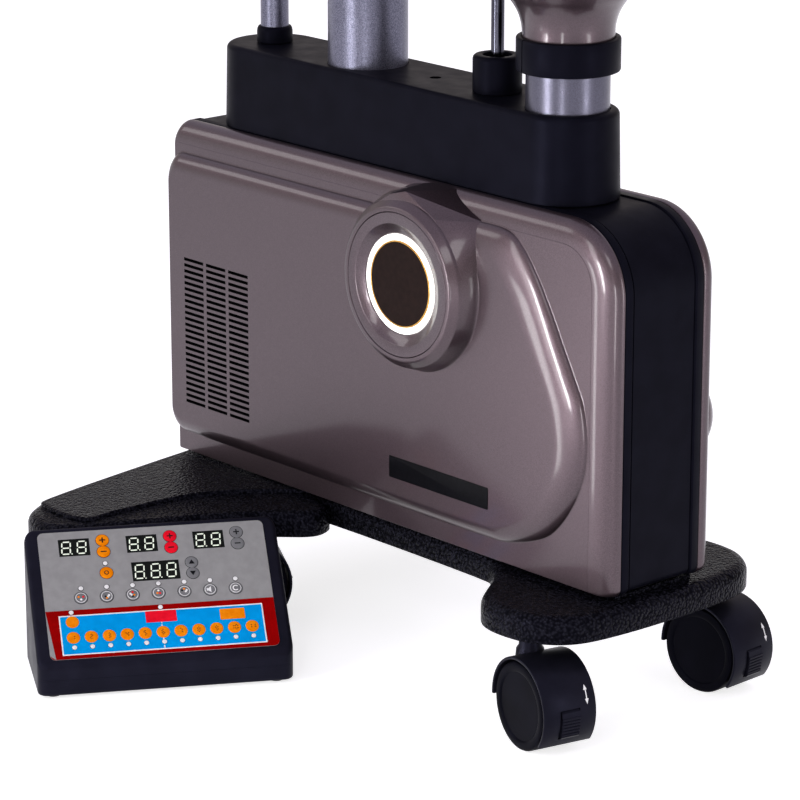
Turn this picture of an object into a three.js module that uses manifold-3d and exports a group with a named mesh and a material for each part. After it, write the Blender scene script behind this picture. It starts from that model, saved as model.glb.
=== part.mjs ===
// Table tennis robot on casters, with its control console. Millimetres, +Z up, floor at z = 0.
// +X is the throwing side, -Y is the side with the round emblem.
import * as THREE from 'three';
import { mergeVertices } from 'three/addons/utils/BufferGeometryUtils.js';
import Module from 'manifold-3d';

// Fits
const fitGap = 0.3;
const runGap = 0.6;
const wall = 3;
const overlap = 1;

// Body: side view in x and z, thickness in y
const bodyLength = 570;
const bodyEnd = bodyLength / 2;
const bodyBottom = 121;
const bodyTop = 433;
const frontTopRadius = 60;
const rearTopRadius = 16;
const lowCornerRadius = 8;
const bandHalf = 45;
const rimWidth = 9;
const rimRise = 1.2;
const coverDepth = 13;
const coverRoundInset = 15;
const panelRise = 8;
const panelBevel = 13;
const panelRearGap = 2;
const panelLift = 24;
const panelTopGap = 18;
const panelFoot = bodyBottom + panelLift;
const panelHeight = bodyTop - panelTopGap - panelFoot;
// Front edge of the panel: how far behind the body's end, and at what share of the panel's height
const panelFront = [125, 93, 63, 39, 23, 17, 20, 33, 95, 105, 117];
const panelFrontShares = [0, 0.022, 0.074, 0.156, 0.267, 0.389, 0.478, 0.596, 0.952, 0.985, 1];
const panelOutline = [
  [panelRearGap - bodyEnd, panelFoot],
  ...panelFront.map((back, i) => [bodyEnd - back, panelFoot + panelHeight * panelFrontShares[i]]),
  [panelRearGap - bodyEnd, panelFoot + panelHeight],
];

// Deck on top of the body, with a tube at each end of it
const deckRearGap = 76;
const deckRearX = deckRearGap - bodyEnd;
const deckFrontGap = 117;
const deckFrontX = bodyEnd - deckFrontGap;
const deckRadius = 43;
const deckFlare = 1.6;
const deckHeight = 74;
const deckTop = bodyTop + fitGap + deckHeight;
const deckEdge = 3;
const cableHoleX = 5.7;
const cableHoleRadius = 5;

// Round boss on the near cover, in front of the feed drum
const bossBehindTube = 111;
const bossX = deckFrontX - bossBehindTube;
const bossZ = 350;
const bossBaseRadius = 78;
const bossFaceRadius = 68;
const bossRise = 24;
const recessDepth = 4.5;
const bezelRadius = 58;
const bezelInner = 45.5;
const bezelThick = 4;
const glowRadius = 45;
const glowInner = 38.6;
const discRadius = 38;
const emblemThick = 3.2;
// Raised neck from the boss to the top edge, measured from the middle of the boss
const bossNeck = [[-69, 22], [70, 22], [64, 62], [47, 80], [-31, 80], [-53, 62]];
const bossNeckRise = 15;

// Vent slots
const ventRearGap = 24;
const ventLeft = ventRearGap - bodyEnd;
const ventLong = 91;
const ventBottom = 172;
const ventTop = 309;
const ventColumns = 3;
const ventRows = 22;
const ventBar = 4;
const ventSlotShare = 0.55;

// Label strip
const labelLeft = 22.6;
const labelLong = 125.4;
const labelBottom = 168.6;
const labelHigh = 19.4;
const labelThick = 0.8;

// Tubes
const tubeRadius = 35;
const tubeWall = 2.5;
const mastX = -82;
const mastAboveDeck = 372.7;
const mastTop = deckTop + mastAboveDeck;
const mastInBody = 33;
const mastBottom = bodyTop - mastInBody;
const frontTubeAboveDeck = 92.7;
const frontTubeTop = deckTop + frontTubeAboveDeck;
const rearTubeRadius = 12.6;
const rearTubeWall = 1.5;
const rearTubeAbove = 6;
const rearTubeTop = mastTop + rearTubeAbove;
const collarRadius = 16;
const collarHeight = 15;

// Rod that turns and tilts the head
const rodBehindTube = 85;
const rodX = deckFrontX - rodBehindTube;
const rodRadius = 5.6;
const rodFootLift = 25;
const rodBottom = bodyTop + rodFootLift;
const rodTip = 6;
const rodPinRadius = 3;
const rodPinHalf = 13;
const lugInner = 7;
const lugThick = 4;
const lugLong = 13;
const lugHalf = 10;
const lugSlotBack = 9;
const lugSlotAhead = 8;
const bushRadius = 21;
const bushBore = 12.4;
const bushHeight = 32;

// Split ring under the head
const ringRadius = 43.3;
const ringBelowTube = 61;
const ringBottom = frontTubeTop - ringBelowTube;
const ringHeight = 28;
const ringSplit = 2;
const ringSplitDegrees = -105;
const screwRadius = 4;
const screwLength = 9;

// Head
const neckRadius = 38.3;
const neckBelowTube = 59;
const neckBottom = frontTubeTop - neckBelowTube;
const neckFlare = [[neckRadius, 0], [neckRadius, 27], [38.8, 36], [41.5, 46], [46.5, 55], [53, 63], [60, 73],
  [66, 87], [69, 109]];
const neckProfile = neckFlare.map(([radius, up]) => [radius, neckBottom + up]);
const neckRearStretchShare = 0.05;
const pivotAboveTube = 100;
const pivotZ = frontTubeTop + pivotAboveTube;
const cheekHalf = 50;
const cheekThick = 5;
const cheekWide = 46;
const cheekAbovePivot = 26;
const cheekTop = pivotZ + cheekAbovePivot;
const housingHalfY = 44;
const housingBehind = 68;
const housingRear = deckFrontX - housingBehind;
const housingAhead = 94;
const housingFront = deckFrontX + housingAhead;
const housingAbove = 90;
const housingHigh = pivotZ + housingAbove;
const housingBelow = 40;
const housingLow = pivotZ - housingBelow;
const housingRound = 34;
const throwAhead = 37;
const throwX = deckFrontX + throwAhead;
const throwRadius = 18;
const throwWide = 30;
const throwGapHalf = 18.5;
const shotLift = 19.5;
const throwMotorRadius = 13;
const throwMotorLength = 8;
const nozzleRadius = 27;
const nozzleWall = 2.5;
const nozzleLength = 46;
const pivotRadius = 9;
const pivotLength = 14;

// Hopper
const hopperRadius = 175;
const hopperAboveMast = 12;
const hopperThroat = mastTop + hopperAboveMast;
const hopperHigh = 118;
const hopperTop = hopperThroat + hopperHigh;
const hopperSocket = 40;

// Casters
const wheelRadius = 37.5;
const casterWide = 50;
const wheelWide = 20;
const webWide = 7;
const hoodRadius = 42;
const hoodWall = 2.6;
const hoodStartAngle = -38;
const hoodEndAngle = 182;
const trail = 22;
const stemRadius = 10;
const stemPin = 5.5;
const axleRadius = 4;
const leverWide = 18;
const leverLong = 24;
const leverThick = 5;
const leverAngle = 8;
const casters = [
  ['front_near', 235, -100], ['front_far', 233, 101], ['rear_near', -160, -113], ['rear_far', -185, 205],
];
const casterAngles = [-12, 3, 59.7, 20];

// Base
const baseBottom = 94;
const baseShoulder = 110;
const baseTop = 117.5;
const shoulderInset = 9;
const plinthHalf = 44;
const plinthEndGap = 5;
const plinthEnd = bodyEnd - plinthEndGap;
const baseSkin = 8;
const basePocketTop = 106;
const socketRadius = 18;
const baseHalf = [
  [298, 0], [297, -45], [293, -82], [286, -102], [273, -117], [253, -127.5], [226, -130], [205, -125.5],
  [190, -114], [176, -95], [160, -72], [138, -55], [108, -47.5], [-80, -47.5], [-69, -58], [-63, -74],
  [-68, -88], [-86, -108], [-102, -132], [-118, -158], [-132, -190], [-147, -215], [-159, -240],
  [-170, -262], [-185, -278], [-206, -280], [-228, -272], [-243, -256], [-254, -228], [-268, -145],
  [-286, -50], [-289, 0],
];
const rearPadHalf = [
  [-96, 0], [-104, -40], [-124, -64], [-149, -95], [-170, -142], [-175, -215], [-178, -249], [-231, -251],
  [-247, -222], [-276, -50], [-279, 0],
];

// Inside the body
const feedX = bossX;
const feedZ = 290;
const feedRadius = 66;
const feedWide = 34;
const feedPocket = 21;
const feedPockets = 5;
const pocketSteps = 14;
const drumWall = 4;
const drumOpen = 24;
const ballLevel = feedZ + drumOpen;
const feedMotorRadius = 23;
const shaftRadius = 4;
const chuteWall = 2.5;
const chuteReach = 6;
const chuteBend = 60;
const elbowBend = 38;
const bendSteps = 7;
const frontTubeBottom = ballLevel + elbowBend;
const standHalf = 22;
const fanSize = 80;
const fanThick = 22;
const fanRearGap = 70;
const fanX = fanRearGap - bodyEnd;
const fanZ = 240;
const fanHub = 15;
const fanBlades = 7;
const bladeThick = 2;
const supplySize = [150, 62, 44];
const supplyBehindFeed = 147;
const supplyX = feedX - supplyBehindFeed;
const boardSize = [110, 4, 70];
const boardBehindFeed = 117;
const boardX = feedX - boardBehindFeed;
const boardZ = 300;

// Knob on the far cover
const knobEndGap = 49;
const knobX = bodyEnd - knobEndGap;
const knobZ = 284;
const domeZ = 250;
const domeRadius = 36;
const domeRise = 26;
const domeShares = [[1, 0], [0.9, 0.5], [0.62, 0.88], [0.3, 1], [0, 1]];
const knobRadius = 13;
const knobLong = 27;

// Console on the floor
const consoleX = -99.2;
const consoleY = -358.3;
const consoleTurn = 59.7;
const consoleWide = 221;
const consoleDeep = 104;
const consoleFront = 29;
const consoleRear = 121;
const consoleEdge = 6;
const consoleSeam = 14;
const consoleWall = 2.5;
const footRadius = 7;
const footHigh = 3;
const keypadWide = 198;
const keypadLong = 125;
const keypadThick = 1.2;
// Display windows: from the keypad's left edge, down from its top edge, width and height
const windowPlaces = [[17.5, 7.5, 27, 17], [76.5, 7.7, 27, 17], [135, 7.5, 27, 17.5], [78.5, 34.4, 41.5, 19]];
const windowList = windowPlaces.map(([x, down, w, h]) => [x, keypadLong - down - h, w, h]);
const displayThick = 6;

const ringSteps = 22;
const wideSteps = 32;
const smallSteps = 10;

const colours = {
  champagne: 0x6b6065, blackSatin: 0x1a1a22, hammertone: 0x202026, silver: 0xa9a9b4, polished: 0xcfcfd4,
  casterBlack: 0x131318, emblemBrown: 0x201614, glowWhite: 0xffffff, bezelMetal: 0x8a8083,
  labelBlack: 0x0c0c10,
  keypadPrint: 0x96989b, displayGlass: 0x101410, zinc: 0x9a9ca0, boardGreen: 0x1d5a33, rubber: 0x26262a,
  hopperPlastic: 0x24242a, chutePlastic: 0xdedfe2,
};

const farInside = bandHalf + coverDepth - wall;

const wasm = await Module();
wasm.setup();
const robot = new THREE.Group();
robot.name = 'table_tennis_robot';

// Solids are kept as manifolds until they are named.
function solid(geometry) {
  const clean = geometry.clone();
  for (const key of Object.keys(clean.attributes)) if (key !== 'position') clean.deleteAttribute(key);
  const merged = mergeVertices(clean, 1e-4);
  const index = merged.index.array;
  return new wasm.Manifold(new wasm.Mesh({
    numProp: 3,
    vertProperties: new Float32Array(merged.attributes.position.array),
    triVerts: new Uint32Array(index),
  }));
}

function add(...parts) {
  return parts.reduce((whole, next) => whole.add(next));
}

function cut(whole, ...tools) {
  return tools.reduce((left, tool) => left.subtract(tool), whole);
}

function shapeOf(points) {
  return new THREE.Shape(points.map(([a, b]) => new THREE.Vector2(a, b)));
}

// Plan outline raised from z0 to z1.
function plate(points, z0, z1) {
  const geometry = new THREE.ExtrudeGeometry(shapeOf(points), { depth: z1 - z0, bevelEnabled: false });
  return solid(geometry.translate(0, 0, z0));
}

// Side outline in x and z, thick from y0 to y1.
function slab(points, y0, y1) {
  const geometry = new THREE.ExtrudeGeometry(shapeOf(points), { depth: y1 - y0, bevelEnabled: false });
  return solid(geometry.rotateX(Math.PI / 2).translate(0, y1, 0));
}

function block(x0, x1, y0, y1, z0, z1) {
  return solid(new THREE.BoxGeometry(x1 - x0, y1 - y0, z1 - z0)
    .translate((x0 + x1) / 2, (y0 + y1) / 2, (z0 + z1) / 2));
}

// Turned about z from a profile of [radius, z]; the profile closes on itself or ends on the axis.
function turned(profile, steps = ringSteps) {
  const points = profile.map(([r, z]) => new THREE.Vector2(r, z));
  return solid(new THREE.LatheGeometry(points, steps).rotateX(Math.PI / 2));
}

function rod(radius, z0, z1, steps = ringSteps) {
  return turned([[0, z0], [radius, z0], [radius, z1], [0, z1]], steps);
}

function pipe(outer, inner, z0, z1, steps = ringSteps) {
  return turned([[inner, z0], [outer, z0], [outer, z1], [inner, z1], [inner, z0]], steps);
}

function at(part, x, y, z) {
  return part.translate([x, y, z]);
}

// Turns a z axis piece so that its top faces -Y.
function towardsNear(part) {
  return part.rotate([90, 0, 0]);
}

function towardsFar(part) {
  return part.rotate([-90, 0, 0]);
}

function inset(points, distance) {
  const n = points.length;
  return points.map((p, i) => {
    const a = points[(i + n - 1) % n];
    const b = points[(i + 1) % n];
    const u = new THREE.Vector2(p[0] - a[0], p[1] - a[1]).normalize();
    const v = new THREE.Vector2(b[0] - p[0], b[1] - p[1]).normalize();
    const normal = new THREE.Vector2(-(u.y + v.y), u.x + v.x).normalize();
    const stretch = Math.max(0.5, normal.dot(new THREE.Vector2(-u.y, u.x)));
    return [p[0] + normal.x * distance / stretch, p[1] + normal.y * distance / stretch];
  });
}

// Closed solid through rings of [x, y, z] points; its flat ends have the given outline.
function lofted(rings, outline) {
  const count = outline.length;
  const index = [];
  for (let r = 0; r + 1 < rings.length; r++) {
    for (let i = 0; i < count; i++) {
      const a = r * count + i;
      const b = r * count + (i + 1) % count;
      index.push(a, b, b + count, a, b + count, a + count);
    }
  }
  const cap = THREE.ShapeUtils.triangulateShape(outline.map(([x, y]) => new THREE.Vector2(x, y)), []);
  const last = (rings.length - 1) * count;
  for (const [a, b, c] of cap) index.push(c, b, a, last + a, last + b, last + c);
  const geometry = new THREE.BufferGeometry();
  geometry.setAttribute('position', new THREE.Float32BufferAttribute(rings.flat(2), 3));
  geometry.setIndex(index);
  return solid(geometry);
}

// Layers are [level, inset] pairs; the outline runs anticlockwise and the levels rise.
function layered(points, layers) {
  return lofted(layers.map(([level, by]) => inset(points, by).map(([x, y]) => [x, y, level])), points);
}

function arc(cx, cy, radius, from, to, steps) {
  const points = [];
  for (let i = 0; i <= steps; i++) {
    const t = (from + (to - from) * i / steps) * Math.PI / 180;
    points.push([cx + radius * Math.cos(t), cy + radius * Math.sin(t)]);
  }
  return points;
}

function circle(radius, steps) {
  return arc(0, 0, radius, 0, 360 - 360 / steps, steps - 1);
}

function bodyOutline() {
  const half = bodyEnd;
  const low = lowCornerRadius;
  return [
    ...arc(half - low, bodyBottom + low, low, -90, 0, 2),
    ...arc(half - frontTopRadius, bodyTop - frontTopRadius, frontTopRadius, 0, 90, 8),
    ...arc(-half + rearTopRadius, bodyTop - rearTopRadius, rearTopRadius, 90, 180, 3),
    ...arc(-half + low, bodyBottom + low, low, 180, 270, 2),
  ];
}

function mirrored(half) {
  const far = half.slice(1, -1).map(([x, y]) => [x, -y]).reverse();
  return [...half, ...far].reverse();
}

function show(name, part, colour, rough = 0.5, metal = 0.1) {
  const mesh = part.getMesh();
  const geometry = new THREE.BufferGeometry();
  geometry.setAttribute('position', new THREE.Float32BufferAttribute(mesh.vertProperties, 3));
  geometry.setIndex(Array.from(mesh.triVerts));
  geometry.computeVertexNormals();
  const material = new THREE.MeshStandardMaterial({ color: colour, roughness: rough, metalness: metal });
  material.name = name + '_finish';
  const node = new THREE.Mesh(geometry, material);
  node.name = name;
  robot.add(node);
}

// The origin is put at the middle of the floor under the whole set.
function centre() {
  const box = new THREE.Box3().setFromObject(robot);
  const middle = box.getCenter(new THREE.Vector3());
  for (const node of robot.children) node.geometry.translate(-middle.x, -middle.y, -box.min.z);
}

function makeBase() {
  const outline = mirrored(baseHalf);
  const pads = mirrored(rearPadHalf);
  const step = (baseTop - baseShoulder) / 2;
  let base = layered(outline, [
    [baseBottom, 0], [baseShoulder, 0], [baseShoulder + step, shoulderInset / 3], [baseTop, shoulderInset],
  ]);
  const padTop = bodyBottom - fitGap;
  base = base.add(layered(pads, [[baseShoulder, 0], [padTop - overlap, 0], [padTop, overlap]]));
  base = base.add(block(-plinthEnd, plinthEnd, -plinthHalf, plinthHalf, baseShoulder, padTop));
  const pocket = plate(inset(outline, baseSkin), baseBottom - overlap, basePocketTop);
  base = base.subtract(pocket);
  for (const [, x, y] of casters) {
    const socket = rod(socketRadius, baseBottom, basePocketTop + overlap, smallSteps * 2);
    const hole = rod(stemPin + runGap, baseBottom - overlap, basePocketTop - overlap, smallSteps);
    base = base.add(at(socket, x, y, 0)).subtract(at(hole, x, y, 0));
  }
  show('base_plate', base, colours.hammertone, 0.45, 0.4);
}

function coverBlank(points, depth) {
  const levels = [[0, 0], [depth / 2, coverRoundInset / 10], [depth * 5 / 6, coverRoundInset / 3],
    [depth, coverRoundInset]];
  return layered(points, levels);
}

function coverHollow(points) {
  return layered(points, [[-overlap, wall], [coverDepth / 2, wall + coverRoundInset / 10],
    [coverDepth - wall, wall + coverRoundInset / 3]]);
}

// Level 0 of a layered side blank lies at y = from and rises towards -Y.
function nearSide(part, from) {
  return at(part.rotate([90, 0, 0]), 0, from, 0);
}

function makeNearCover() {
  const outline = bodyOutline();
  const face = coverDepth + panelRise;
  let cover = coverBlank(outline, coverDepth);
  const panel = layered(panelOutline, [[coverDepth / 2, 0], [face - panelRise / 2, panelBevel / 8],
    [face - overlap, panelBevel / 3], [face, panelBevel]]);
  const boss = at(turned([[0, 0], [bossBaseRadius, 0], [bossBaseRadius, face],
    [bossFaceRadius, face + bossRise - overlap * 2], [bossFaceRadius - overlap * 2, face + bossRise],
    [0, face + bossRise]], wideSteps), bossX, bossZ, 0);
  const neck = layered(bossNeck, [[0, 0], [face, 0], [face + bossNeckRise, bossNeckRise / 2]]);
  cover = add(cover, panel, boss, at(neck, bossX, bossZ, 0));
  const hollow = add(
    coverHollow(outline),
    plate(inset(panelOutline, wall + panelBevel / 2), 0, face - wall),
    at(rod(bossFaceRadius - wall * 2, 0, face + bossRise - recessDepth - bezelThick - wall), bossX, bossZ, 0),
  );
  const recess = at(rod(bezelRadius + fitGap, face + bossRise - recessDepth - bezelThick,
    face + bossRise + overlap, wideSteps), bossX, bossZ, 0);
  cover = cover.subtract(hollow).subtract(recess);
  const label = block(labelLeft - fitGap, labelLeft + labelLong + fitGap, labelBottom - fitGap,
    labelBottom + labelHigh + fitGap, face - labelThick, face + overlap);
  cover = cover.subtract(label);
  const columnPitch = (ventLong + ventBar) / ventColumns;
  const rowPitch = (ventTop - ventBottom) / ventRows;
  for (let c = 0; c < ventColumns; c++) {
    for (let r = 0; r < ventRows; r++) {
      const x = ventLeft + c * columnPitch;
      const z = ventBottom + r * rowPitch;
      cover = cover.subtract(block(x, x + columnPitch - ventBar, z, z + rowPitch * ventSlotShare,
        0, face + overlap));
    }
  }
  show('near_cover', nearSide(cover, -bandHalf - fitGap), colours.champagne, 0.35, 0.6);
}

function makeFarCover() {
  const outline = bodyOutline();
  let cover = coverBlank(outline, coverDepth);
  const bulge = domeShares.map(([across, up]) => [domeRadius * across, coverDepth + domeRise * up]);
  const dome = at(turned([[0, 0], [domeRadius, 0], ...bulge]), knobX, domeZ, 0);
  cover = cover.add(dome).subtract(coverHollow(outline));
  const beyond = coverDepth + domeRise * 2;
  const bore = at(rod(shaftRadius + runGap, -overlap, beyond, smallSteps), knobX, knobZ, 0);
  const seat = at(rod(knobRadius + runGap, coverDepth, beyond), knobX, knobZ, 0);
  cover = cover.subtract(bore).subtract(seat);
  const placed = at(cover.mirror([0, 0, 1]).rotate([90, 0, 0]), 0, bandHalf + fitGap, 0);
  show('far_cover', placed, colours.champagne, 0.35, 0.6);
}

function makeKnob() {
  const start = coverDepth + runGap;
  const knob = turned([[0, -wall], [shaftRadius, -wall], [shaftRadius, start], [knobRadius, start],
    [knobRadius, start + knobLong - overlap * 2], [knobRadius - overlap * 2, start + knobLong],
    [0, start + knobLong]], smallSteps * 2);
  const pointer = block(-overlap, overlap, -knobRadius / 2, knobRadius - overlap, start + knobLong - overlap,
    start + knobLong + overlap);
  show('side_knob', at(towardsFar(knob.add(pointer)), knobX, bandHalf + fitGap, knobZ), colours.blackSatin);
}

function makeFrame() {
  const outline = bodyOutline();
  let frame = slab(inset(outline, rimRise), -bandHalf, bandHalf);
  frame = frame.add(slab(outline, -bandHalf, -bandHalf + rimWidth));
  frame = frame.add(slab(outline, bandHalf - rimWidth, bandHalf));
  frame = frame.subtract(slab(inset(outline, rimRise + wall), -bandHalf - overlap, bandHalf + overlap));
  for (const [x, radius] of [[mastX, tubeRadius + fitGap], [deckFrontX, tubeRadius + fitGap],
    [rodX, bushBore]]) {
    frame = frame.subtract(at(rod(radius, bodyTop - wall * 3, bodyTop + overlap), x, 0, 0));
  }
  show('body_frame', frame, colours.blackSatin, 0.4, 0.1);
}

function stadium(radius) {
  return [...arc(deckFrontX, 0, radius, -90, 90, 14), ...arc(deckRearX, 0, radius, 90, 270, 14)];
}

function makeDeck() {
  const low = bodyTop + fitGap;
  const high = deckTop;
  let deck = layered(stadium(deckRadius + deckFlare), [
    [low, 0], [high - deckEdge, deckFlare], [high - deckEdge / 3, deckFlare + deckEdge / 3],
    [high, deckFlare + deckEdge],
  ]);
  const hollow = plate(stadium(deckRadius - wall), low - overlap, high - wall * 2);
  deck = deck.subtract(hollow);
  const through = (x, radius) => at(rod(radius, low, high + overlap), x, 0, 0);
  deck = cut(deck, through(mastX, tubeRadius + fitGap), through(deckFrontX, tubeRadius + fitGap),
    through(deckRearX, rearTubeRadius + fitGap), through(rodX, bushRadius - wall),
    through(cableHoleX, cableHoleRadius));
  show('deck', deck, colours.blackSatin, 0.4, 0.05);
}

function makeTubes() {
  show('mast_tube', at(pipe(tubeRadius, tubeRadius - tubeWall, mastBottom, mastTop), mastX, 0, 0),
    colours.silver, 0.4, 0.7);
  show('front_tube', at(pipe(tubeRadius, tubeRadius - tubeWall, frontTubeBottom, frontTubeTop),
    deckFrontX, 0, 0), colours.silver, 0.35, 0.7);
  show('rear_tube', at(pipe(rearTubeRadius, rearTubeRadius - rearTubeWall, bodyTop + wall, rearTubeTop,
    smallSteps * 2), deckRearX, 0, 0), colours.silver, 0.4, 0.7);
  const collar = pipe(collarRadius, rearTubeRadius + fitGap, deckTop + fitGap, deckTop + collarHeight);
  show('rear_collar', at(collar, deckRearX, 0, 0), colours.blackSatin);
  const bush = turned([[bushBore, deckTop + fitGap], [bushRadius, deckTop + fitGap],
    [bushRadius, deckTop + bushHeight - overlap * 2], [bushRadius - overlap * 2, deckTop + bushHeight],
    [bushBore, deckTop + bushHeight], [bushBore, deckTop + fitGap]]);
  show('rod_bushing', at(bush, rodX, 0, 0), colours.blackSatin);
}

function makeRing() {
  const bore = neckRadius + fitGap;
  const ringTop = ringBottom + ringHeight;
  const middle = ringBottom + ringHeight / 2;
  let ring = turned([[bore, ringBottom], [ringRadius - overlap, ringBottom],
    [ringRadius, ringBottom + overlap], [ringRadius, ringTop - overlap], [ringRadius - overlap, ringTop],
    [bore, ringTop], [bore, ringBottom]], wideSteps);
  const split = block(0, ringRadius * 2, -ringSplit / 2, ringSplit / 2, ringBottom - overlap,
    ringTop + overlap).rotate([0, 0, ringSplitDegrees]);
  const screwHole = at(towardsFar(rod(screwRadius / 2 + fitGap, 0, ringRadius * 2, smallSteps)), 0, 0,
    middle);
  ring = cut(ring, split, screwHole);
  show('clamp_ring', at(ring, deckFrontX, 0, 0), colours.blackSatin);
  const reach = neckRadius + fitGap * 2;
  const screw = turned([[0, reach], [screwRadius / 2, reach], [screwRadius / 2, ringRadius + fitGap],
    [screwRadius, ringRadius + fitGap], [screwRadius, ringRadius + screwLength],
    [0, ringRadius + screwLength]], smallSteps);
  show('clamp_screw', at(towardsFar(screw), deckFrontX, 0, middle), colours.zinc, 0.3, 0.9);
}

function makeHead() {
  const inner = neckProfile.map(([r, z]) => [r - wall, z]).reverse();
  let neck = turned([...neckProfile, ...inner, neckProfile[0]], wideSteps);
  neck = neck.warp((v) => {
    const rise = Math.max(0, (v[2] - neckProfile[1][1]) / ringHeight);
    if (v[0] < 0) v[0] *= 1 + neckRearStretchShare * Math.min(1, rise);
  });
  const filled = turned([[0, neckBottom], ...neckProfile, [neckProfile[8][0], cheekTop], [0, cheekTop]],
    wideSteps);
  const cheek = (side) => block(-cheekWide / 2, cheekWide / 2, side * cheekHalf - cheekThick / 2,
    side * cheekHalf + cheekThick / 2, neckProfile[4][1] - wall, cheekTop).intersect(filled);
  const drill = towardsNear(rod(pivotRadius / 2 + fitGap, -cheekHalf * 2, cheekHalf * 2, smallSteps));
  const bore = at(drill, 0, 0, pivotZ);
  neck = add(neck, cheek(1), cheek(-1)).subtract(bore);
  show('head_neck', at(neck, deckFrontX, 0, 0), colours.champagne, 0.35, 0.6);

  const side = [
    ...arc(housingFront - housingRound, housingLow + housingRound, housingRound, -90, 0, 4),
    ...arc(housingFront - housingRound, housingHigh - housingRound, housingRound, 0, 90, 4),
    ...arc(housingRear + housingRound, housingHigh - housingRound, housingRound, 90, 180, 4),
    ...arc(housingRear + housingRound, housingLow + housingRound, housingRound, 180, 270, 4),
  ];
  const split = (from, to) => {
    let shell = slab(side, from, to);
    const y0 = from < 0 ? from + wall : from - overlap;
    const y1 = from < 0 ? to + overlap : to - wall;
    shell = shell.subtract(slab(inset(side, wall), y0, y1));
    const mouth = at(rod(nozzleRadius + fitGap, 0, housingRound * 3).rotate([0, 90, 0]),
      housingFront - housingRound, 0, pivotZ + shotLift);
    const entry = block(deckFrontX - tubeRadius + wall, deckFrontX + tubeRadius - wall, -tubeRadius + wall,
      tubeRadius - wall, housingLow - overlap, housingLow + wall + overlap);
    const pin = at(drill, deckFrontX, 0, pivotZ);
    const sign = from < 0 ? -1 : 1;
    const lugNear = Math.min(sign * lugInner, sign * (lugInner + lugThick));
    const lug = block(rodX - lugLong, housingRear + overlap, lugNear, lugNear + lugThick, pivotZ - lugHalf,
      pivotZ + lugHalf);
    const lugSlotHalf = rodPinRadius + runGap;
    const slot = block(rodX - lugSlotBack, rodX + lugSlotAhead, lugNear - overlap,
      lugNear + lugThick + overlap, pivotZ - lugSlotHalf, pivotZ + lugSlotHalf);
    return cut(shell.add(lug), mouth, entry, pin, slot);
  };
  show('head_shell_near', split(-housingHalfY, -fitGap / 2), colours.champagne, 0.35, 0.6);
  show('head_shell_far', split(fitGap / 2, housingHalfY), colours.champagne, 0.35, 0.6);

  const nozzleStart = housingFront - wall * 2;
  const nozzle = turned([[nozzleRadius - nozzleWall, 0], [nozzleRadius, 0],
    [nozzleRadius, nozzleLength - overlap], [nozzleRadius + overlap * 2, nozzleLength],
    [nozzleRadius - nozzleWall, nozzleLength], [nozzleRadius - nozzleWall, 0]]);
  show('nozzle', at(nozzle.rotate([0, 90, 0]), nozzleStart, 0, pivotZ + shotLift), colours.blackSatin);

  const shellInside = housingHalfY - wall - fitGap;
  for (const [name, sign] of [['upper', 1], ['lower', -1]]) {
    const z = pivotZ + shotLift + sign * (throwGapHalf + throwRadius);
    const half = throwWide / 2;
    const bore = shaftRadius / 2 + fitGap;
    const wheel = turned([[bore, -half], [throwRadius, -half], [throwRadius - overlap, 0],
      [throwRadius, half], [bore, half], [bore, -half]]);
    show(name + '_throw_wheel', at(towardsNear(wheel), throwX, 0, z), colours.rubber, 0.8, 0);
    const shaftEnd = half + runGap;
    const motor = turned([[0, -half], [shaftRadius / 2, -half], [shaftRadius / 2, shaftEnd],
      [throwMotorRadius, shaftEnd], [throwMotorRadius, shellInside], [0, shellInside]], smallSteps * 2);
    show(name + '_throw_motor', at(towardsFar(motor), throwX, 0, z), colours.zinc, 0.35, 0.9);
  }
  for (const [name, sign] of [['near', -1], ['far', 1]]) {
    const tip = cheekHalf - (cheekThick + pivotLength) / 2;
    const head = cheekHalf + cheekThick / 2 + fitGap;
    const bolt = turned([[0, tip], [pivotRadius / 2, tip], [pivotRadius / 2, head], [pivotRadius, head],
      [pivotRadius, head + cheekThick / 2], [0, head + cheekThick / 2]], smallSteps);
    const placed = sign < 0 ? towardsNear(bolt) : towardsFar(bolt);
    show(name + '_pivot_bolt', at(placed, deckFrontX, 0, pivotZ), colours.zinc, 0.3, 0.9);
  }
}

function makeRod() {
  const stem = rod(rodRadius, rodBottom, pivotZ + rodTip, smallSteps * 2);
  const foot = rod(rodRadius + wall, rodBottom, rodBottom + wall * 2, smallSteps * 2);
  const pin = at(towardsNear(rod(rodPinRadius, -rodPinHalf, rodPinHalf, smallSteps)), 0, 0, pivotZ);
  show('push_rod', at(add(stem, foot, pin), rodX, 0, 0), colours.polished, 0.15, 1);
}

function makeHopper() {
  const inner = tubeRadius + fitGap;
  const outer = inner + wall;
  const rim = hopperRadius;
  const foot = hopperThroat - hopperSocket;
  const slopeTop = hopperTop - hopperRadius / 3;
  const profile = [[outer, foot], [outer, hopperThroat], [rim, slopeTop], [rim, hopperTop],
    [rim - wall, hopperTop], [rim - wall, slopeTop + overlap], [inner - wall, hopperThroat + overlap * 3],
    [inner - wall, mastTop + fitGap], [inner, mastTop + fitGap], [inner, foot], [outer, foot]];
  let hopper = turned(profile, wideSteps);
  const postX = deckRearX - mastX;
  const socket = at(rod(rearTubeRadius + fitGap + wall, rearTubeTop - hopperSocket, slopeTop,
    smallSteps * 2), postX, 0, 0);
  const funnel = turned([[0, hopperThroat + overlap * 3], [inner - wall, hopperThroat + overlap * 3],
    [rim - wall, slopeTop + overlap], [rim - wall, hopperTop + overlap], [0, hopperTop + overlap]],
  wideSteps);
  hopper = hopper.add(socket.subtract(funnel));
  hopper = hopper.subtract(at(rod(rearTubeRadius + fitGap, rearTubeTop - hopperSocket - overlap,
    rearTubeTop + fitGap, smallSteps * 2), postX, 0, 0));
  show('ball_hopper', at(hopper, mastX, 0, 0), colours.hopperPlastic, 0.5, 0);
}

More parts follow.
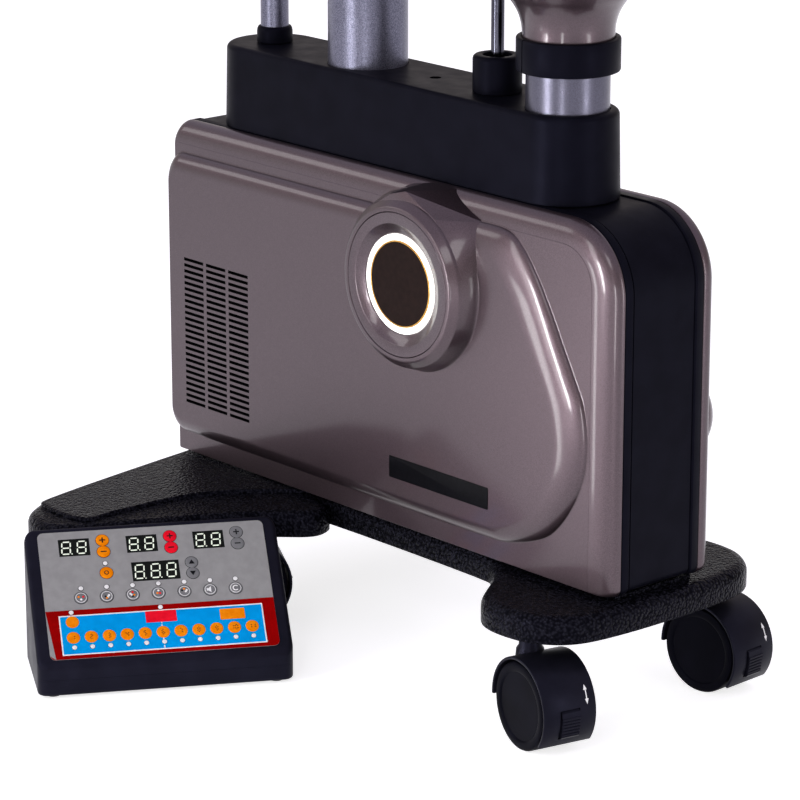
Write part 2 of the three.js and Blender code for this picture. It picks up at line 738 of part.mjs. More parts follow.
function makeCaster(name, x, y, turn) {
  const half = casterWide / 2;
  const sector = (radius, from, to) => [[0, 0], ...arc(0, 0, radius, from, to, 12)];
  const ringOutline = [...arc(0, 0, hoodRadius, hoodStartAngle, hoodEndAngle, 13),
    ...arc(0, 0, hoodRadius - hoodWall, hoodEndAngle, hoodStartAngle, 13)];
  let hood = slab(ringOutline, -half, half);
  hood = hood.add(slab(sector(hoodRadius - overlap, hoodStartAngle, hoodEndAngle), -webWide / 2,
    webWide / 2));
  const stem = rod(stemRadius, hoodRadius / 2, baseBottom - wheelRadius - runGap, smallSteps * 2);
  const pin = rod(stemPin, hoodRadius, basePocketTop - overlap * 2 - wheelRadius, smallSteps);
  const under = slab(circle(hoodRadius - hoodWall, wideSteps), -half, half);
  hood = hood.add(at(add(stem, pin), -trail, 0, 0).subtract(under));
  hood = hood.subtract(towardsNear(rod(axleRadius + fitGap, -half, half, smallSteps)));
  const spotHalf = leverLong / 2 + runGap * 2;
  const leverSpot = block(hoodRadius - hoodWall * 3, hoodRadius + overlap * 3, -leverWide / 2 - runGap,
    leverWide / 2 + runGap, -spotHalf, spotHalf).rotate([0, -leverAngle, 0]);
  hood = hood.subtract(leverSpot);
  const gap = webWide / 2 + runGap;
  const edge = gap + wheelWide;
  const tread = wheelRadius;
  const wheels = turned([[0, -edge], [tread - overlap, -edge], [tread, -edge + overlap], [tread, -gap],
    [axleRadius, -gap], [axleRadius, gap], [tread, gap], [tread, edge - overlap], [tread - overlap, edge],
    [0, edge]], ringSteps);
  let lever = block(hoodRadius - hoodWall - overlap / 2, hoodRadius + leverThick - hoodWall, -leverWide / 2,
    leverWide / 2, -leverLong / 2, leverLong / 2);
  for (let i = -2; i <= 2; i++) {
    lever = lever.subtract(block(hoodRadius + leverThick - hoodWall - overlap, hoodRadius * 2, -leverWide,
      leverWide, (i - 0.2) * leverLong / 6, (i + 0.2) * leverLong / 6));
  }
  lever = lever.rotate([0, -leverAngle, 0]);
  const place = (part) => at(at(part, trail, 0, 0).rotate([0, 0, turn]), x, y, wheelRadius);
  show('caster_hood_' + name, place(hood), colours.casterBlack, 0.5, 0);
  show('caster_wheels_' + name, place(towardsNear(wheels)), colours.casterBlack, 0.6, 0);
  show('caster_brake_' + name, place(lever), colours.casterBlack, 0.5, 0);
}

function makeEmblem() {
  const floor = -bandHalf - fitGap - coverDepth - panelRise - bossRise + recessDepth;
  const bezel = turned([[bezelInner, 0], [bezelRadius, 0], [bezelRadius, bezelThick - overlap / 2],
    [bezelRadius - overlap * 3, bezelThick + overlap], [bezelInner + overlap, bezelThick - overlap],
    [bezelInner, bezelThick - overlap * 2], [bezelInner, 0]], wideSteps);
  const glow = pipe(glowRadius, glowInner, 0, emblemThick, wideSteps);
  const disc = turned([[0, 0], [discRadius, 0], [discRadius, emblemThick - overlap / 2],
    [discRadius - overlap, emblemThick + overlap / 2], [0, emblemThick + overlap / 2]], wideSteps);
  const place = (part) => at(towardsNear(part), bossX, floor + bezelThick - fitGap, bossZ);
  show('emblem_bezel', place(bezel), colours.bezelMetal, 0.25, 0.9);
  show('emblem_light_ring', place(glow), colours.glowWhite, 0.4, 0);
  show('emblem_disc', place(disc), colours.emblemBrown, 0.3, 0);
  const face = -bandHalf - fitGap - coverDepth - panelRise;
  const strip = block(labelLeft, labelLeft + labelLong, face, face + labelThick - fitGap / 2, labelBottom,
    labelBottom + labelHigh);
  show('label_strip', strip, colours.labelBlack, 0.3, 0);
}

function makeFeed() {
  const half = feedWide / 2;
  let wheel = towardsNear(rod(feedRadius - runGap, -half, half, wideSteps));
  for (let i = 0; i < feedPockets; i++) {
    const t = (i + 0.25) * 2 * Math.PI / feedPockets;
    const out = feedRadius - feedPocket / 3;
    wheel = wheel.subtract(at(towardsNear(rod(feedPocket, -half - overlap, half + overlap, pocketSteps)),
      out * Math.cos(t), 0, out * Math.sin(t)));
  }
  wheel = wheel.subtract(towardsNear(rod(shaftRadius + fitGap, -half - overlap, half + overlap, smallSteps)));
  show('feed_wheel', at(wheel, feedX, 0, feedZ), colours.chutePlastic, 0.5, 0);
  const outer = feedRadius + drumWall;
  let drum = towardsNear(pipe(outer, feedRadius, -half - drumWall, half + runGap, wideSteps));
  const floor = bodyBottom + rimRise + wall + fitGap;
  const stand = block(-standHalf, standHalf, -half - drumWall, half, floor - feedZ, -feedRadius - overlap);
  drum = drum.add(towardsNear(rod(outer, -half - drumWall - overlap, -half - runGap, wideSteps))).add(stand);
  drum = drum.subtract(towardsNear(rod(shaftRadius + runGap, -half * 2, 0, smallSteps)));
  for (const side of [-1, 1]) {
    const from = Math.min(side * feedRadius / 2, side * (outer + overlap));
    drum = drum.subtract(block(from, from + outer + overlap - feedRadius / 2, -half - overlap / 2,
      half + overlap * 2, 0, drumOpen * 2));
  }
  show('feed_drum', at(drum, feedX, 0, feedZ), colours.chutePlastic, 0.5, 0);
  const plateEnd = half + drumWall + overlap + runGap;
  const motor = turned([[0, -half], [shaftRadius, -half], [shaftRadius, plateEnd],
    [feedMotorRadius, plateEnd], [feedMotorRadius, farInside], [0, farInside]], smallSteps * 2);
  show('feed_motor', at(towardsFar(motor), feedX, 0, feedZ), colours.zinc, 0.35, 0.9);
}

// Tube for the balls: level at startX, then one round bend up to its top at endX, open to the drum.
function bentTube(startX, endX, top, bend) {
  const way = Math.sign(endX - startX);
  const path = [[startX, ballLevel, 0]];
  for (let i = 0; i <= bendSteps; i++) {
    const t = i / bendSteps * Math.PI / 2;
    path.push([endX - way * bend * (1 - Math.sin(t)), ballLevel + bend * (1 - Math.cos(t)), t]);
  }
  path.push([endX, top, Math.PI / 2]);
  const run = (radius) => {
    const section = circle(radius, pocketSteps);
    return lofted(path.map(([x, z, t]) => section.map(([a, b]) =>
      [x - way * a * Math.sin(t), -way * b, z + a * Math.cos(t)])), section);
  };
  const radius = tubeRadius - tubeWall - runGap;
  const drumCut = towardsNear(rod(feedRadius + drumWall + fitGap, -tubeRadius, tubeRadius, wideSteps));
  return cut(run(radius), run(radius - chuteWall), at(drumCut, feedX, 0, feedZ));
}

function makeChutes() {
  show('ball_chute', bentTube(feedX - feedRadius / 2, mastX, mastBottom + chuteReach, chuteBend),
    colours.chutePlastic, 0.5, 0);
  show('lift_elbow', bentTube(feedX + feedRadius / 2, deckFrontX, frontTubeBottom + chuteReach, elbowBend),
    colours.chutePlastic, 0.5, 0);
}

function makeInside() {
  const [w, d, h] = supplySize;
  const floor = bodyBottom + rimRise + wall + fitGap;
  show('power_supply', block(supplyX - w / 2, supplyX + w / 2, -d / 2, d / 2, floor, floor + h),
    colours.zinc, 0.4, 0.8);
  const [bw, bt, bh] = boardSize;
  show('control_board', block(boardX - bw / 2, boardX + bw / 2, farInside - bt, farInside, boardZ - bh / 2,
    boardZ + bh / 2), colours.boardGreen, 0.5, 0);
  const y0 = -bandHalf - coverDepth - panelRise + wall;
  const half = fanSize / 2;
  const ductRadius = half - wall;
  const hub = at(towardsNear(rod(fanHub, 0, wall)), fanX, y0 + fanThick, fanZ);
  const spoke = block(fanX - half, fanX + half, y0 + fanThick - wall, y0 + fanThick, fanZ - wall,
    fanZ + wall);
  const duct = at(towardsNear(rod(ductRadius, 0, fanThick + overlap)), fanX, y0 + fanThick + overlap / 2,
    fanZ);
  const housing = block(fanX - half, fanX + half, y0, y0 + fanThick, fanZ - half, fanZ + half)
    .subtract(duct).add(spoke).add(hub);
  show('fan_housing', housing, colours.blackSatin);
  const deep = fanThick - wall - runGap * 2;
  let rotor = rod(fanHub, 0, deep, smallSteps * 2);
  for (let i = 0; i < fanBlades; i++) {
    rotor = rotor.add(block(fanHub - overlap, ductRadius - runGap * 2, -bladeThick / 2, bladeThick / 2,
      overlap, deep - overlap).rotate([0, 0, i * 360 / fanBlades]));
  }
  show('fan_rotor', at(towardsNear(rotor), fanX, y0 + fanThick - wall - runGap, fanZ), colours.blackSatin);
}

// Console frame: x along the front edge, y towards the back, z up.
function placeConsole(part) {
  return at(part.rotate([0, 0, consoleTurn]), consoleX, consoleY, 0);
}

function wedge(inset0, low, drop) {
  const slope = (consoleRear - consoleFront) / consoleDeep;
  const front = inset0;
  const back = consoleDeep - inset0;
  return [[front, low], [back, low], [back, consoleFront + slope * back - drop],
    [front, consoleFront + slope * front - drop]];
}

// Side outline in y and z, wide from x0 to x1.
function across(points, x0, x1) {
  return slab(points, -x1, -x0).rotate([0, 0, 90]);
}

function onPanel(part) {
  const tilt = Math.atan((consoleRear - consoleFront) / consoleDeep) * 180 / Math.PI;
  const run = Math.hypot(consoleDeep, consoleRear - consoleFront);
  const margin = (run - keypadLong) / 2;
  return at(at(part, (consoleWide - keypadWide) / 2, margin, 0).rotate([tilt, 0, 0]), 0, 0, consoleFront);
}

function makeConsole() {
  const seamLow = consoleSeam + footHigh;
  const full = across(wedge(0, footHigh, 0), 0, consoleWide);
  const hollow = across(wedge(consoleWall, footHigh + consoleWall, consoleWall * 1.2), consoleWall,
    consoleWide - consoleWall);
  const shell = full.subtract(hollow);
  const band = (z0, z1) => block(-overlap, consoleWide + overlap, -overlap, consoleDeep + overlap, z0, z1);
  const below = band(0, seamLow);
  const above = band(seamLow + fitGap, consoleRear * 2);
  let lower = shell.intersect(below);
  const feet = [];
  for (const x of [footRadius * 2, consoleWide - footRadius * 2]) {
    for (const y of [footRadius * 2, consoleDeep - footRadius * 2]) {
      feet.push(at(rod(footRadius, 0, footHigh + overlap, smallSteps * 2), x, y, 0));
    }
  }
  lower = add(lower, ...feet);
  show('console_base', placeConsole(lower), colours.blackSatin);
  let upper = shell.intersect(above);
  const seat = onPanel(block(-fitGap, keypadWide + fitGap, -fitGap, keypadLong + fitGap, -keypadThick / 2,
    keypadThick * 4));
  upper = upper.subtract(seat);
  for (const [x, y, w, h] of windowList) {
    upper = upper.subtract(onPanel(block(x, x + w, y, y + h, -consoleWall * 4, keypadThick)));
  }
  show('console_cover', placeConsole(upper), colours.blackSatin);
  let keypad = block(0, keypadWide, 0, keypadLong, -keypadThick / 2 + fitGap, keypadThick / 2);
  for (const [x, y, w, h] of windowList) {
    keypad = keypad.subtract(block(x, x + w, y, y + h, -keypadThick, keypadThick));
  }
  show('keypad', placeConsole(onPanel(keypad)), colours.keypadPrint);
  const under = -consoleWall * 1.2 - fitGap * 4;
  const [[firstX, firstY, , firstHigh], , , [, lastY]] = windowList;
  let display = block(firstX - wall, keypadWide - wall, lastY - wall, firstY + firstHigh,
    under - displayThick, under);
  for (const [x, y, w, h] of windowList) {
    display = display.add(block(x + fitGap, x + w - fitGap, y + fitGap, y + h - fitGap, under - overlap,
      -fitGap));
  }
  show('display_module', placeConsole(onPanel(display)), colours.displayGlass, 0.15, 0);
}

makeBase();
makeFrame();
makeNearCover();
makeFarCover();
makeKnob();
makeEmblem();
makeDeck();
makeTubes();
makeRing();
makeHead();
makeRod();
makeHopper();
makeFeed();
makeChutes();
makeInside();
makeConsole();
casters.forEach(([name, x, y], i) => makeCaster(name, x, y, casterAngles[i]));
centre();

export default robot;
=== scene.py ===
import math

import bmesh
import bpy
from mathutils import Matrix, Vector


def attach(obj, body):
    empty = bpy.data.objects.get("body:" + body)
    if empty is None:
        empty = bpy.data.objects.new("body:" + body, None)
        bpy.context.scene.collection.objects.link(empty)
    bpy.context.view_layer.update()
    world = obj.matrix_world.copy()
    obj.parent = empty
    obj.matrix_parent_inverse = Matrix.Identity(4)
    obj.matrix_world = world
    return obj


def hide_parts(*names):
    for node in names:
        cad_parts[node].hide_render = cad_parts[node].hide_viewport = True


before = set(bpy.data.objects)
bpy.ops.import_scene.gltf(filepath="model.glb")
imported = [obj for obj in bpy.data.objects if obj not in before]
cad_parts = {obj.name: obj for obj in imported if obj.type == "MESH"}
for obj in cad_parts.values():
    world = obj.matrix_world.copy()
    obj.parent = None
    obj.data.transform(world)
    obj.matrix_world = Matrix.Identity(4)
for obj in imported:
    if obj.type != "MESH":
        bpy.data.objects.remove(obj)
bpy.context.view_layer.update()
print("frame loaded")

# Pieces are sized in millimetres from the middle of the slab body, with the floor at z = 0.
# The camera and the lamps are placed in metres.
bodyShift = Vector((-7.015, 39.15, 0.0))


def addObject(name, data):
    thing = bpy.data.objects.new(name, data)
    bpy.context.scene.collection.objects.link(thing)
    return thing


def pick(table, *names):
    return [table[name] for name in names]


# Camera: long lens, standing off the front corner
view = {"place": (2.3186, -2.05385, 1.1457), "azimuth": 48.5, "elevation": 16.5, "lens": 167.5}
cameraData = bpy.data.cameras.new("camera")
cameraData.lens = view["lens"]
cameraData.clip_end = 50
camera = addObject("camera", cameraData)
camera.location = view["place"]
camera.rotation_euler = (math.radians(90 - view["elevation"]), 0, math.radians(view["azimuth"]))
bpy.context.scene.camera = camera

# Finishes: what a finish doesn't name is taken from plainLook
plainLook = {
    "patchKind": "noise", "patchScale": 40, "spread": (0.35, 0.65), "stretch": (1, 1, 1),
    "rough": 0.5, "roughSpread": 0.04, "roughScale": 60, "bump": 0, "bumpKind": "noise", "bumpScale": 600,
    "bumpHeight": 0.0003, "bumpTurned": False, "metal": 0, "coat": 0, "coatRough": 0.1, "specular": 0.12,
    "sheenTone": "ffffff", "glow": 0,
}


def setInput(node, name, value):
    node.inputs[name].default_value = value


def rgb(hexText):
    parts = [int(hexText[i:i + 2], 16) / 255 for i in (0, 2, 4)]
    return tuple(c / 12.92 if c <= 0.04045 else ((c + 0.055) / 1.055) ** 2.4 for c in parts) + (1,)


def grainNode(nodes, links, where, kind, scale, stretch):
    mapping = nodes.new("ShaderNodeMapping")
    setInput(mapping, "Scale", stretch)
    links.new(where.outputs["Object"], mapping.inputs["Vector"])
    if kind == "cells":
        grain = nodes.new("ShaderNodeTexVoronoi")
        grain.feature = "SMOOTH_F1"
        setInput(grain, "Smoothness", 0.6)
        out = grain.outputs["Distance"]
    elif kind == "flakes":
        grain = nodes.new("ShaderNodeTexVoronoi")
        flat = nodes.new("ShaderNodeRGBToBW")
        links.new(grain.outputs["Color"], flat.inputs["Color"])
        out = flat.outputs["Val"]
    else:
        grain = nodes.new("ShaderNodeTexNoise")
        setInput(grain, "Detail", 3)
        out = grain.outputs["Fac"]
    setInput(grain, "Scale", scale)
    links.new(mapping.outputs["Vector"], grain.inputs["Vector"])
    return out


def makeFinish(name, changes):
    look = {**plainLook, **changes}
    finish = bpy.data.materials.new(name)
    finish.use_nodes = True
    nodes, links = finish.node_tree.nodes, finish.node_tree.links
    shader = nodes["Principled BSDF"]
    where = nodes.new("ShaderNodeTexCoord")

    def grain(kind, scale):
        return grainNode(nodes, links, where, kind, scale, look["stretch"])

    ramp = nodes.new("ShaderNodeValToRGB")
    for stop, share, tone in zip(ramp.color_ramp.elements, look["spread"], (look["dark"], look["light"])):
        stop.position = share
        stop.color = rgb(tone)
    links.new(grain(look["patchKind"], look["patchScale"]), ramp.inputs["Fac"])
    links.new(ramp.outputs["Color"], shader.inputs["Base Color"])

    span = nodes.new("ShaderNodeMapRange")
    setInput(span, "From Min", 0.3)
    setInput(span, "From Max", 0.7)
    setInput(span, "To Min", look["rough"] - look["roughSpread"])
    setInput(span, "To Max", look["rough"] + look["roughSpread"])
    links.new(grain("noise", look["roughScale"]), span.inputs["Value"])
    links.new(span.outputs["Result"], shader.inputs["Roughness"])

    if look["bump"]:
        bump = nodes.new("ShaderNodeBump")
        setInput(bump, "Strength", look["bump"])
        setInput(bump, "Distance", look["bumpHeight"])
        bump.invert = look["bumpTurned"]
        links.new(grain(look["bumpKind"], look["bumpScale"]), bump.inputs["Height"])
        links.new(bump.outputs["Normal"], shader.inputs["Normal"])

    for socket, key in (("Metallic", "metal"), ("Coat Weight", "coat"), ("Coat Roughness", "coatRough"),
                        ("Specular IOR Level", "specular")):
        setInput(shader, socket, look[key])
    setInput(shader, "Specular Tint", rgb(look["sheenTone"]))
    if look["glow"]:
        setInput(shader, "Emission Color", rgb(look["light"]))
        setInput(shader, "Emission Strength", look["glow"])
    return finish


blackSheen = "c8c8ff"
finishLooks = {
    "champagneLacquer": {
        "dark": "463a3f", "light": "53464c", "patchKind": "flakes", "patchScale": 1700, "spread": (0.1, 0.9),
        "rough": 0.4, "roughSpread": 0.02, "metal": 0.85, "coat": 0.6, "coatRough": 0.11, "bump": 0.03,
        "bumpScale": 900, "bumpHeight": 0.0001},
    "satinBlack": {
        "dark": "0c0c13", "light": "101018", "specular": 0.035, "rough": 0.4, "roughSpread": 0.05,
        "bump": 0.12, "bumpScale": 1500, "bumpHeight": 0.0001, "sheenTone": blackSheen},
    "hammertoneBlack": {
        "dark": "1c1c23", "light": "050508", "patchKind": "cells", "patchScale": 400, "spread": (0.25, 0.6),
        "rough": 0.22, "roughSpread": 0.08, "roughScale": 300, "bump": 1, "bumpKind": "cells",
        "bumpScale": 400, "bumpHeight": 0.0014, "bumpTurned": True, "specular": 0.034,
        "sheenTone": blackSheen},
    "silverHammer": {
        "dark": "50505f", "light": "7a7a8b", "patchScale": 1100, "rough": 0.32, "roughSpread": 0.06,
        "roughScale": 900, "metal": 0.8, "bump": 0.4, "bumpScale": 1100},
    "satinTube": {
        "dark": "54535f", "light": "5f5e6c", "patchScale": 900, "rough": 0.3, "metal": 0.8, "bump": 0.15,
        "bumpScale": 1400, "bumpHeight": 0.0001},
    "polishedSteel": {
        "dark": "3c3c45", "light": "50505a", "patchScale": 300, "stretch": (1, 1, 0.05), "rough": 0.2,
        "metal": 1},
    "zincPlate": {"dark": "84868a", "light": "a2a4a8", "patchScale": 400, "rough": 0.34, "metal": 0.9,
                  "bump": 0.1},
    "casterBlack": {
        "dark": "101017", "light": "16161e", "rough": 0.36, "roughSpread": 0.05, "bump": 0.2,
        "bumpScale": 1300, "bumpHeight": 0.0002, "specular": 0.09, "sheenTone": blackSheen},
    "wheelBlack": {
        "dark": "08080d", "light": "0c0c13", "rough": 0.4, "bump": 0.1, "bumpScale": 1300,
        "bumpHeight": 0.0001, "specular": 0.02, "sheenTone": blackSheen},
    "turnedBezel": {
        "dark": "463b40", "light": "53474d", "patchKind": "flakes", "patchScale": 1700, "rough": 0.36,
        "roughSpread": 0.02, "metal": 0.85, "coat": 0.6},
    "emblemBrown": {"dark": "180d0a", "light": "1f1310", "patchScale": 200, "rough": 0.35, "specular": 0.05},
    "goldEdge": {"dark": "b98a3e", "light": "d9ab5c", "patchScale": 400, "rough": 0.3, "metal": 0.8},
    "litRing": {"dark": "f4f2ee", "light": "fffdf8", "patchScale": 120, "rough": 0.4, "glow": 0.9},
    "labelBlack": {"dark": "07070a", "light": "0d0d11", "patchScale": 300, "rough": 0.4,
                   "roughSpread": 0.03, "specular": 0.04},
    # painted shade: the walls and floors of cut holes and slots are coloured near-black, standing in for the
    # shade inside them
    "paintedHoleShade": {"dark": "060609", "light": "0b0b0f", "patchScale": 300, "rough": 0.7, "specular": 0.05},
    "softRubber": {"dark": "202023", "light": "2a2a2e", "rough": 0.8, "bump": 0.3, "bumpScale": 800},
    "chutePlastic": {"dark": "cfd0d4", "light": "dedfe2", "rough": 0.45, "bump": 0.05},
    "circuitGreen": {"dark": "17492a", "light": "226239", "patchScale": 260, "rough": 0.4, "coat": 0.3},
    "motorSteel": {"dark": "7e8084", "light": "96989c", "patchScale": 300, "rough": 0.36, "metal": 0.9},
    "consoleBlack": {
        "dark": "111118", "light": "171720", "rough": 0.42, "roughSpread": 0.05, "bump": 0.15,
        "bumpScale": 1200, "bumpHeight": 0.00015, "sheenTone": blackSheen},
    "digitBlock": {"dark": "0a0e0b", "light": "0f130f", "patchScale": 200, "rough": 0.3, "specular": 0.1},
    "digitLit": {"dark": "d4dccb", "light": "e4ecdc", "patchScale": 200, "rough": 0.4, "glow": 0.35},
    "keyGrey": {"dark": "8f8f8f", "light": "979797", "patchScale": 120, "bump": 0.05},
    "keyMark": {"dark": "151518", "light": "1f1f23", "patchScale": 200, "rough": 0.6, "specular": 0.04},
}
keyTones = {
    "keyDarkRed": ("8c0000", "980002", 0.02), "keyBlue": ("0094de", "009ce8", 0.02),
    "keyWhite": ("e8e8e8", "f4f4f4", 0.12), "keyOrange": ("ee8000", "f99010", 0.02),
    "keyRed": ("e41028", "f4182e", 0.02), "keyButtonGrey": ("6f7072", "7b7c7e", 0.05),
}
for name, (dark, light, specular) in keyTones.items():
    finishLooks[name] = {"dark": dark, "light": light, "patchScale": 120, "specular": specular}
finishes = {name: makeFinish(name, look) for name, look in finishLooks.items()}
print("finishes mixed:", len(finishes))


# Shapes are (points, faces) pairs, and loops are closed outlines of flat points
def arcPoints(cx, cy, radius, start, end, steps):
    turns = [math.radians(start + (end - start) * i / steps) for i in range(steps + 1)]
    return [(cx + radius * math.cos(t), cy + radius * math.sin(t)) for t in turns]


def lifted(loop, z):
    return [(x, y, z) for x, y in loop]


def upright(loop, y):
    return [(x, y, z) for x, z in loop]


def ringsShape(rings, closed=False):
    count, total = len(rings[0]), len(rings)
    faces = []
    for r in range(total if closed else total - 1):
        here, there = r * count, (r + 1) % total * count
        for i in range(count):
            j = (i + 1) % count
            faces.append((here + i, here + j, there + j, there + i))
    if not closed:
        faces.append(tuple(range(count))[::-1])
        faces.append(tuple(range((total - 1) * count, total * count)))
    return [p for ring in rings for p in ring], faces


def latheShape(profile, steps=96, start=0, sweep=360):
    full = sweep == 360
    turns = [math.radians(start + sweep * i / steps) for i in range(steps if full else steps + 1)]
    rings = [[(r * math.cos(t), r * math.sin(t), z) for r, z in profile] for t in turns]
    return ringsShape(rings, closed=full)


def latheRing(loop, steps):
    return latheShape(loop + loop[:1], steps)


def joinShapes(shapes):
    points, faces = [], []
    for morePoints, moreFaces in shapes:
        base = len(points)
        points += list(morePoints)
        faces += [tuple(base + i for i in face) for face in moreFaces]
    return points, faces


def rectLoop(x0, x1, y0, y1):
    return [(x0, y0), (x1, y0), (x1, y1), (x0, y1)]


def boxShape(x0, x1, y0, y1, z0, z1):
    return ringsShape([lifted(rectLoop(x0, x1, y0, y1), z) for z in (z0, z1)])


def moved(shape, x=0, y=0, z=0):
    return [(p[0] + x, p[1] + y, p[2] + z) for p in shape[0]], shape[1]


def turnedAbout(shape, axis, degrees):
    turn = Matrix.Rotation(math.radians(degrees), 3, axis)
    return [tuple(turn @ Vector(p)) for p in shape[0]], shape[1]


def hullShape(points):
    shell = bmesh.new()
    for p in points:
        shell.verts.new(p)
    found = bmesh.ops.convex_hull(shell, input=shell.verts)
    spare = {g for g in found["geom_interior"] + found["geom_unused"] if isinstance(g, bmesh.types.BMVert)}
    bmesh.ops.delete(shell, geom=list(spare), context="VERTS")
    bmesh.ops.dissolve_limit(shell, angle_limit=math.radians(1), verts=shell.verts, edges=shell.edges)
    shell.verts.index_update()
    shape = [tuple(v.co) for v in shell.verts], [tuple(v.index for v in f.verts) for f in shell.faces]
    shell.free()
    return shape


def insetLoop(points, distance):
    count, out = len(points), []
    for i in range(count):
        a, p, b = Vector(points[i - 1]), Vector(points[i]), Vector(points[(i + 1) % count])
        u, v = (p - a).normalized(), (b - p).normalized()
        normal = Vector((-(u.y + v.y), u.x + v.x)).normalized()
        stretch = max(0.5, normal.dot(Vector((-u.y, u.x))))
        out.append((p.x + normal.x * distance / stretch, p.y + normal.y * distance / stretch))
    return out


def layered(loop, levels):
    # levels are (inset, height) pairs
    return ringsShape([lifted(insetLoop(loop, i), z) for i, z in levels])


def sideways(loop, levels):
    # outline in x and z, thick along y, with (y, inset) levels
    return ringsShape([upright(insetLoop(loop, i), y) for y, i in levels])


def flatPlate(loop, low, high):
    return layered(loop, [(0, low), (0, high)])


def smoothSpan(knots, steps):
    # from the second of four knots up to the third
    a, b, c, d = (Vector(p) for p in knots)
    out = []
    for s in range(steps):
        t = s / steps
        out.append(tuple(0.5 * (2 * b + (c - a) * t + (2 * a - 5 * b + 4 * c - d) * t * t
                                + (3 * b - a - 3 * c + d) * t ** 3)))
    return out


def smoothLoop(points, steps):
    out, count = [], len(points)
    for i in range(count):
        out += smoothSpan([points[(i + k) % count] for k in (-1, 0, 1, 2)], steps)
    return out


def smoothLine(points, steps):
    ends = points[:1] + points + points[-1:]
    out = []
    for i in range(len(points) - 1):
        out += smoothSpan(ends[i:i + 4], steps)
    return out + points[-1:]


def roundedCorner(before, corner, after, radius, steps=6):
    a, p, b = Vector(before), Vector(corner), Vector(after)
    u, v = (a - p).normalized(), (b - p).normalized()
    half = math.acos(max(-1, min(1, u.dot(v)))) / 2
    back = radius / math.tan(half)
    start, end = p + u * back, p + v * back
    centre = p + (u + v).normalized() * (radius / math.sin(half))
    spots = [start.lerp(end, s / steps) - centre for s in range(steps + 1)]
    return [tuple(centre + spot.normalized() * radius) for spot in spots]


def roundedLoop(points, radii, steps=6):
    out, count = [], len(points)
    for i in range(count):
        radius = radii[i] if isinstance(radii, list) else radii
        out += roundedCorner(points[i - 1], points[i], points[(i + 1) % count], radius, steps)
    return out


def quarterRoll(width, height, steps):
    # (inset, rise) pairs from the wall to the flat
    turns = [math.pi / 2 * i / steps for i in range(steps + 1)]
    return [(width * (1 - math.cos(t)), height * math.sin(t)) for t in turns]


def fillMesh(mesh, parts):
    points, faces, which = [], [], []
    for shape, finishName in parts:
        if finishName not in [m.name for m in mesh.materials]:
            mesh.materials.append(finishes[finishName])
        index = [m.name for m in mesh.materials].index(finishName)
        base = len(points)
        points += [(Vector(p) + bodyShift) * 0.001 for p in shape[0]]
        faces += [tuple(base + i for i in face) for face in shape[1]]
        which += [index] * len(shape[1])
    mesh.from_pydata(points, [], faces)
    mesh.polygons.foreach_set("material_index", which)
    shell = bmesh.new()
    shell.from_mesh(mesh)
    bmesh.ops.remove_doubles(shell, verts=shell.verts, dist=1e-7)
    bmesh.ops.recalc_face_normals(shell, faces=shell.faces)
    shell.to_mesh(mesh)
    shell.free()


def softenEdges(piece, width, steps=3, angle=30):
    soft = piece.modifiers.new("soft edges", "BEVEL")
    soft.width = width * 0.001
    soft.segments = steps
    soft.limit_method = "ANGLE"
    soft.angle_limit = math.radians(angle)


def addPiece(name, parts, hides=None, slot=None, rides="robot_body", soft=0, softSteps=3, softAngle=30,
             sharp=35):
    mesh = bpy.data.meshes.new(name)
    fillMesh(mesh, [parts] if isinstance(parts, tuple) else parts)
    mesh.shade_smooth()
    mesh.set_sharp_from_angle(angle=math.radians(sharp))
    piece = addObject(name, mesh)
    if soft:
        softenEdges(piece, soft, softSteps, softAngle)
    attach(piece, rides)
    if hides:
        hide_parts(hides)
    return piece


def carve(piece, cutter, finishName, sharp=35):
    mesh = bpy.data.meshes.new("cutter")
    fillMesh(mesh, [(cutter, finishName)])
    tool = addObject("cutter", mesh)
    cut = piece.modifiers.new("cut", "BOOLEAN")
    cut.operation = "DIFFERENCE"
    cut.solver = "EXACT"
    cut.material_mode = "TRANSFER"
    cut.use_self = True
    cut.object = tool
    graph = bpy.context.evaluated_depsgraph_get()
    done = bpy.data.meshes.new_from_object(piece.evaluated_get(graph))
    piece.modifiers.clear()
    piece.data = done
    bpy.data.objects.remove(tool)
    done.set_sharp_from_angle(angle=math.radians(sharp))


# Base: one casting with a waist, a front foot and wide rear wings
base = {
    "low": 94, "top": 117.5, "shoulder": 9.5, "plinth": (-278, 279, -42, 42), "plinthTop": 120.7, "padLip": 3,
    "half": [
        (298, 0), (297, -45), (293, -82), (286, -102), (273, -117), (253, -127.5), (226, -130), (205, -125.5),
        (190, -114), (176, -95), (160, -72), (138, -55), (108, -47.5), (-80, -47.5), (-69, -58), (-63, -74),
        (-68, -88), (-86, -108), (-102, -132), (-118, -158), (-132, -190), (-147, -215), (-159, -240),
        (-170, -262), (-185, -277), (-206, -279.3), (-228, -272), (-243, -256), (-254, -228), (-268, -145),
        (-286, -50), (-288.9, 0)],
    "padHalf": [
        (-96, 0), (-104, -40), (-124, -64), (-149, -95), (-170, -142), (-175, -215), (-178, -249),
        (-231, -251), (-247, -222), (-276, -50), (-279, 0)],
}


def bothSides(half):
    return (half + [(x, -y) for x, y in half[1:-1]][::-1])[::-1]


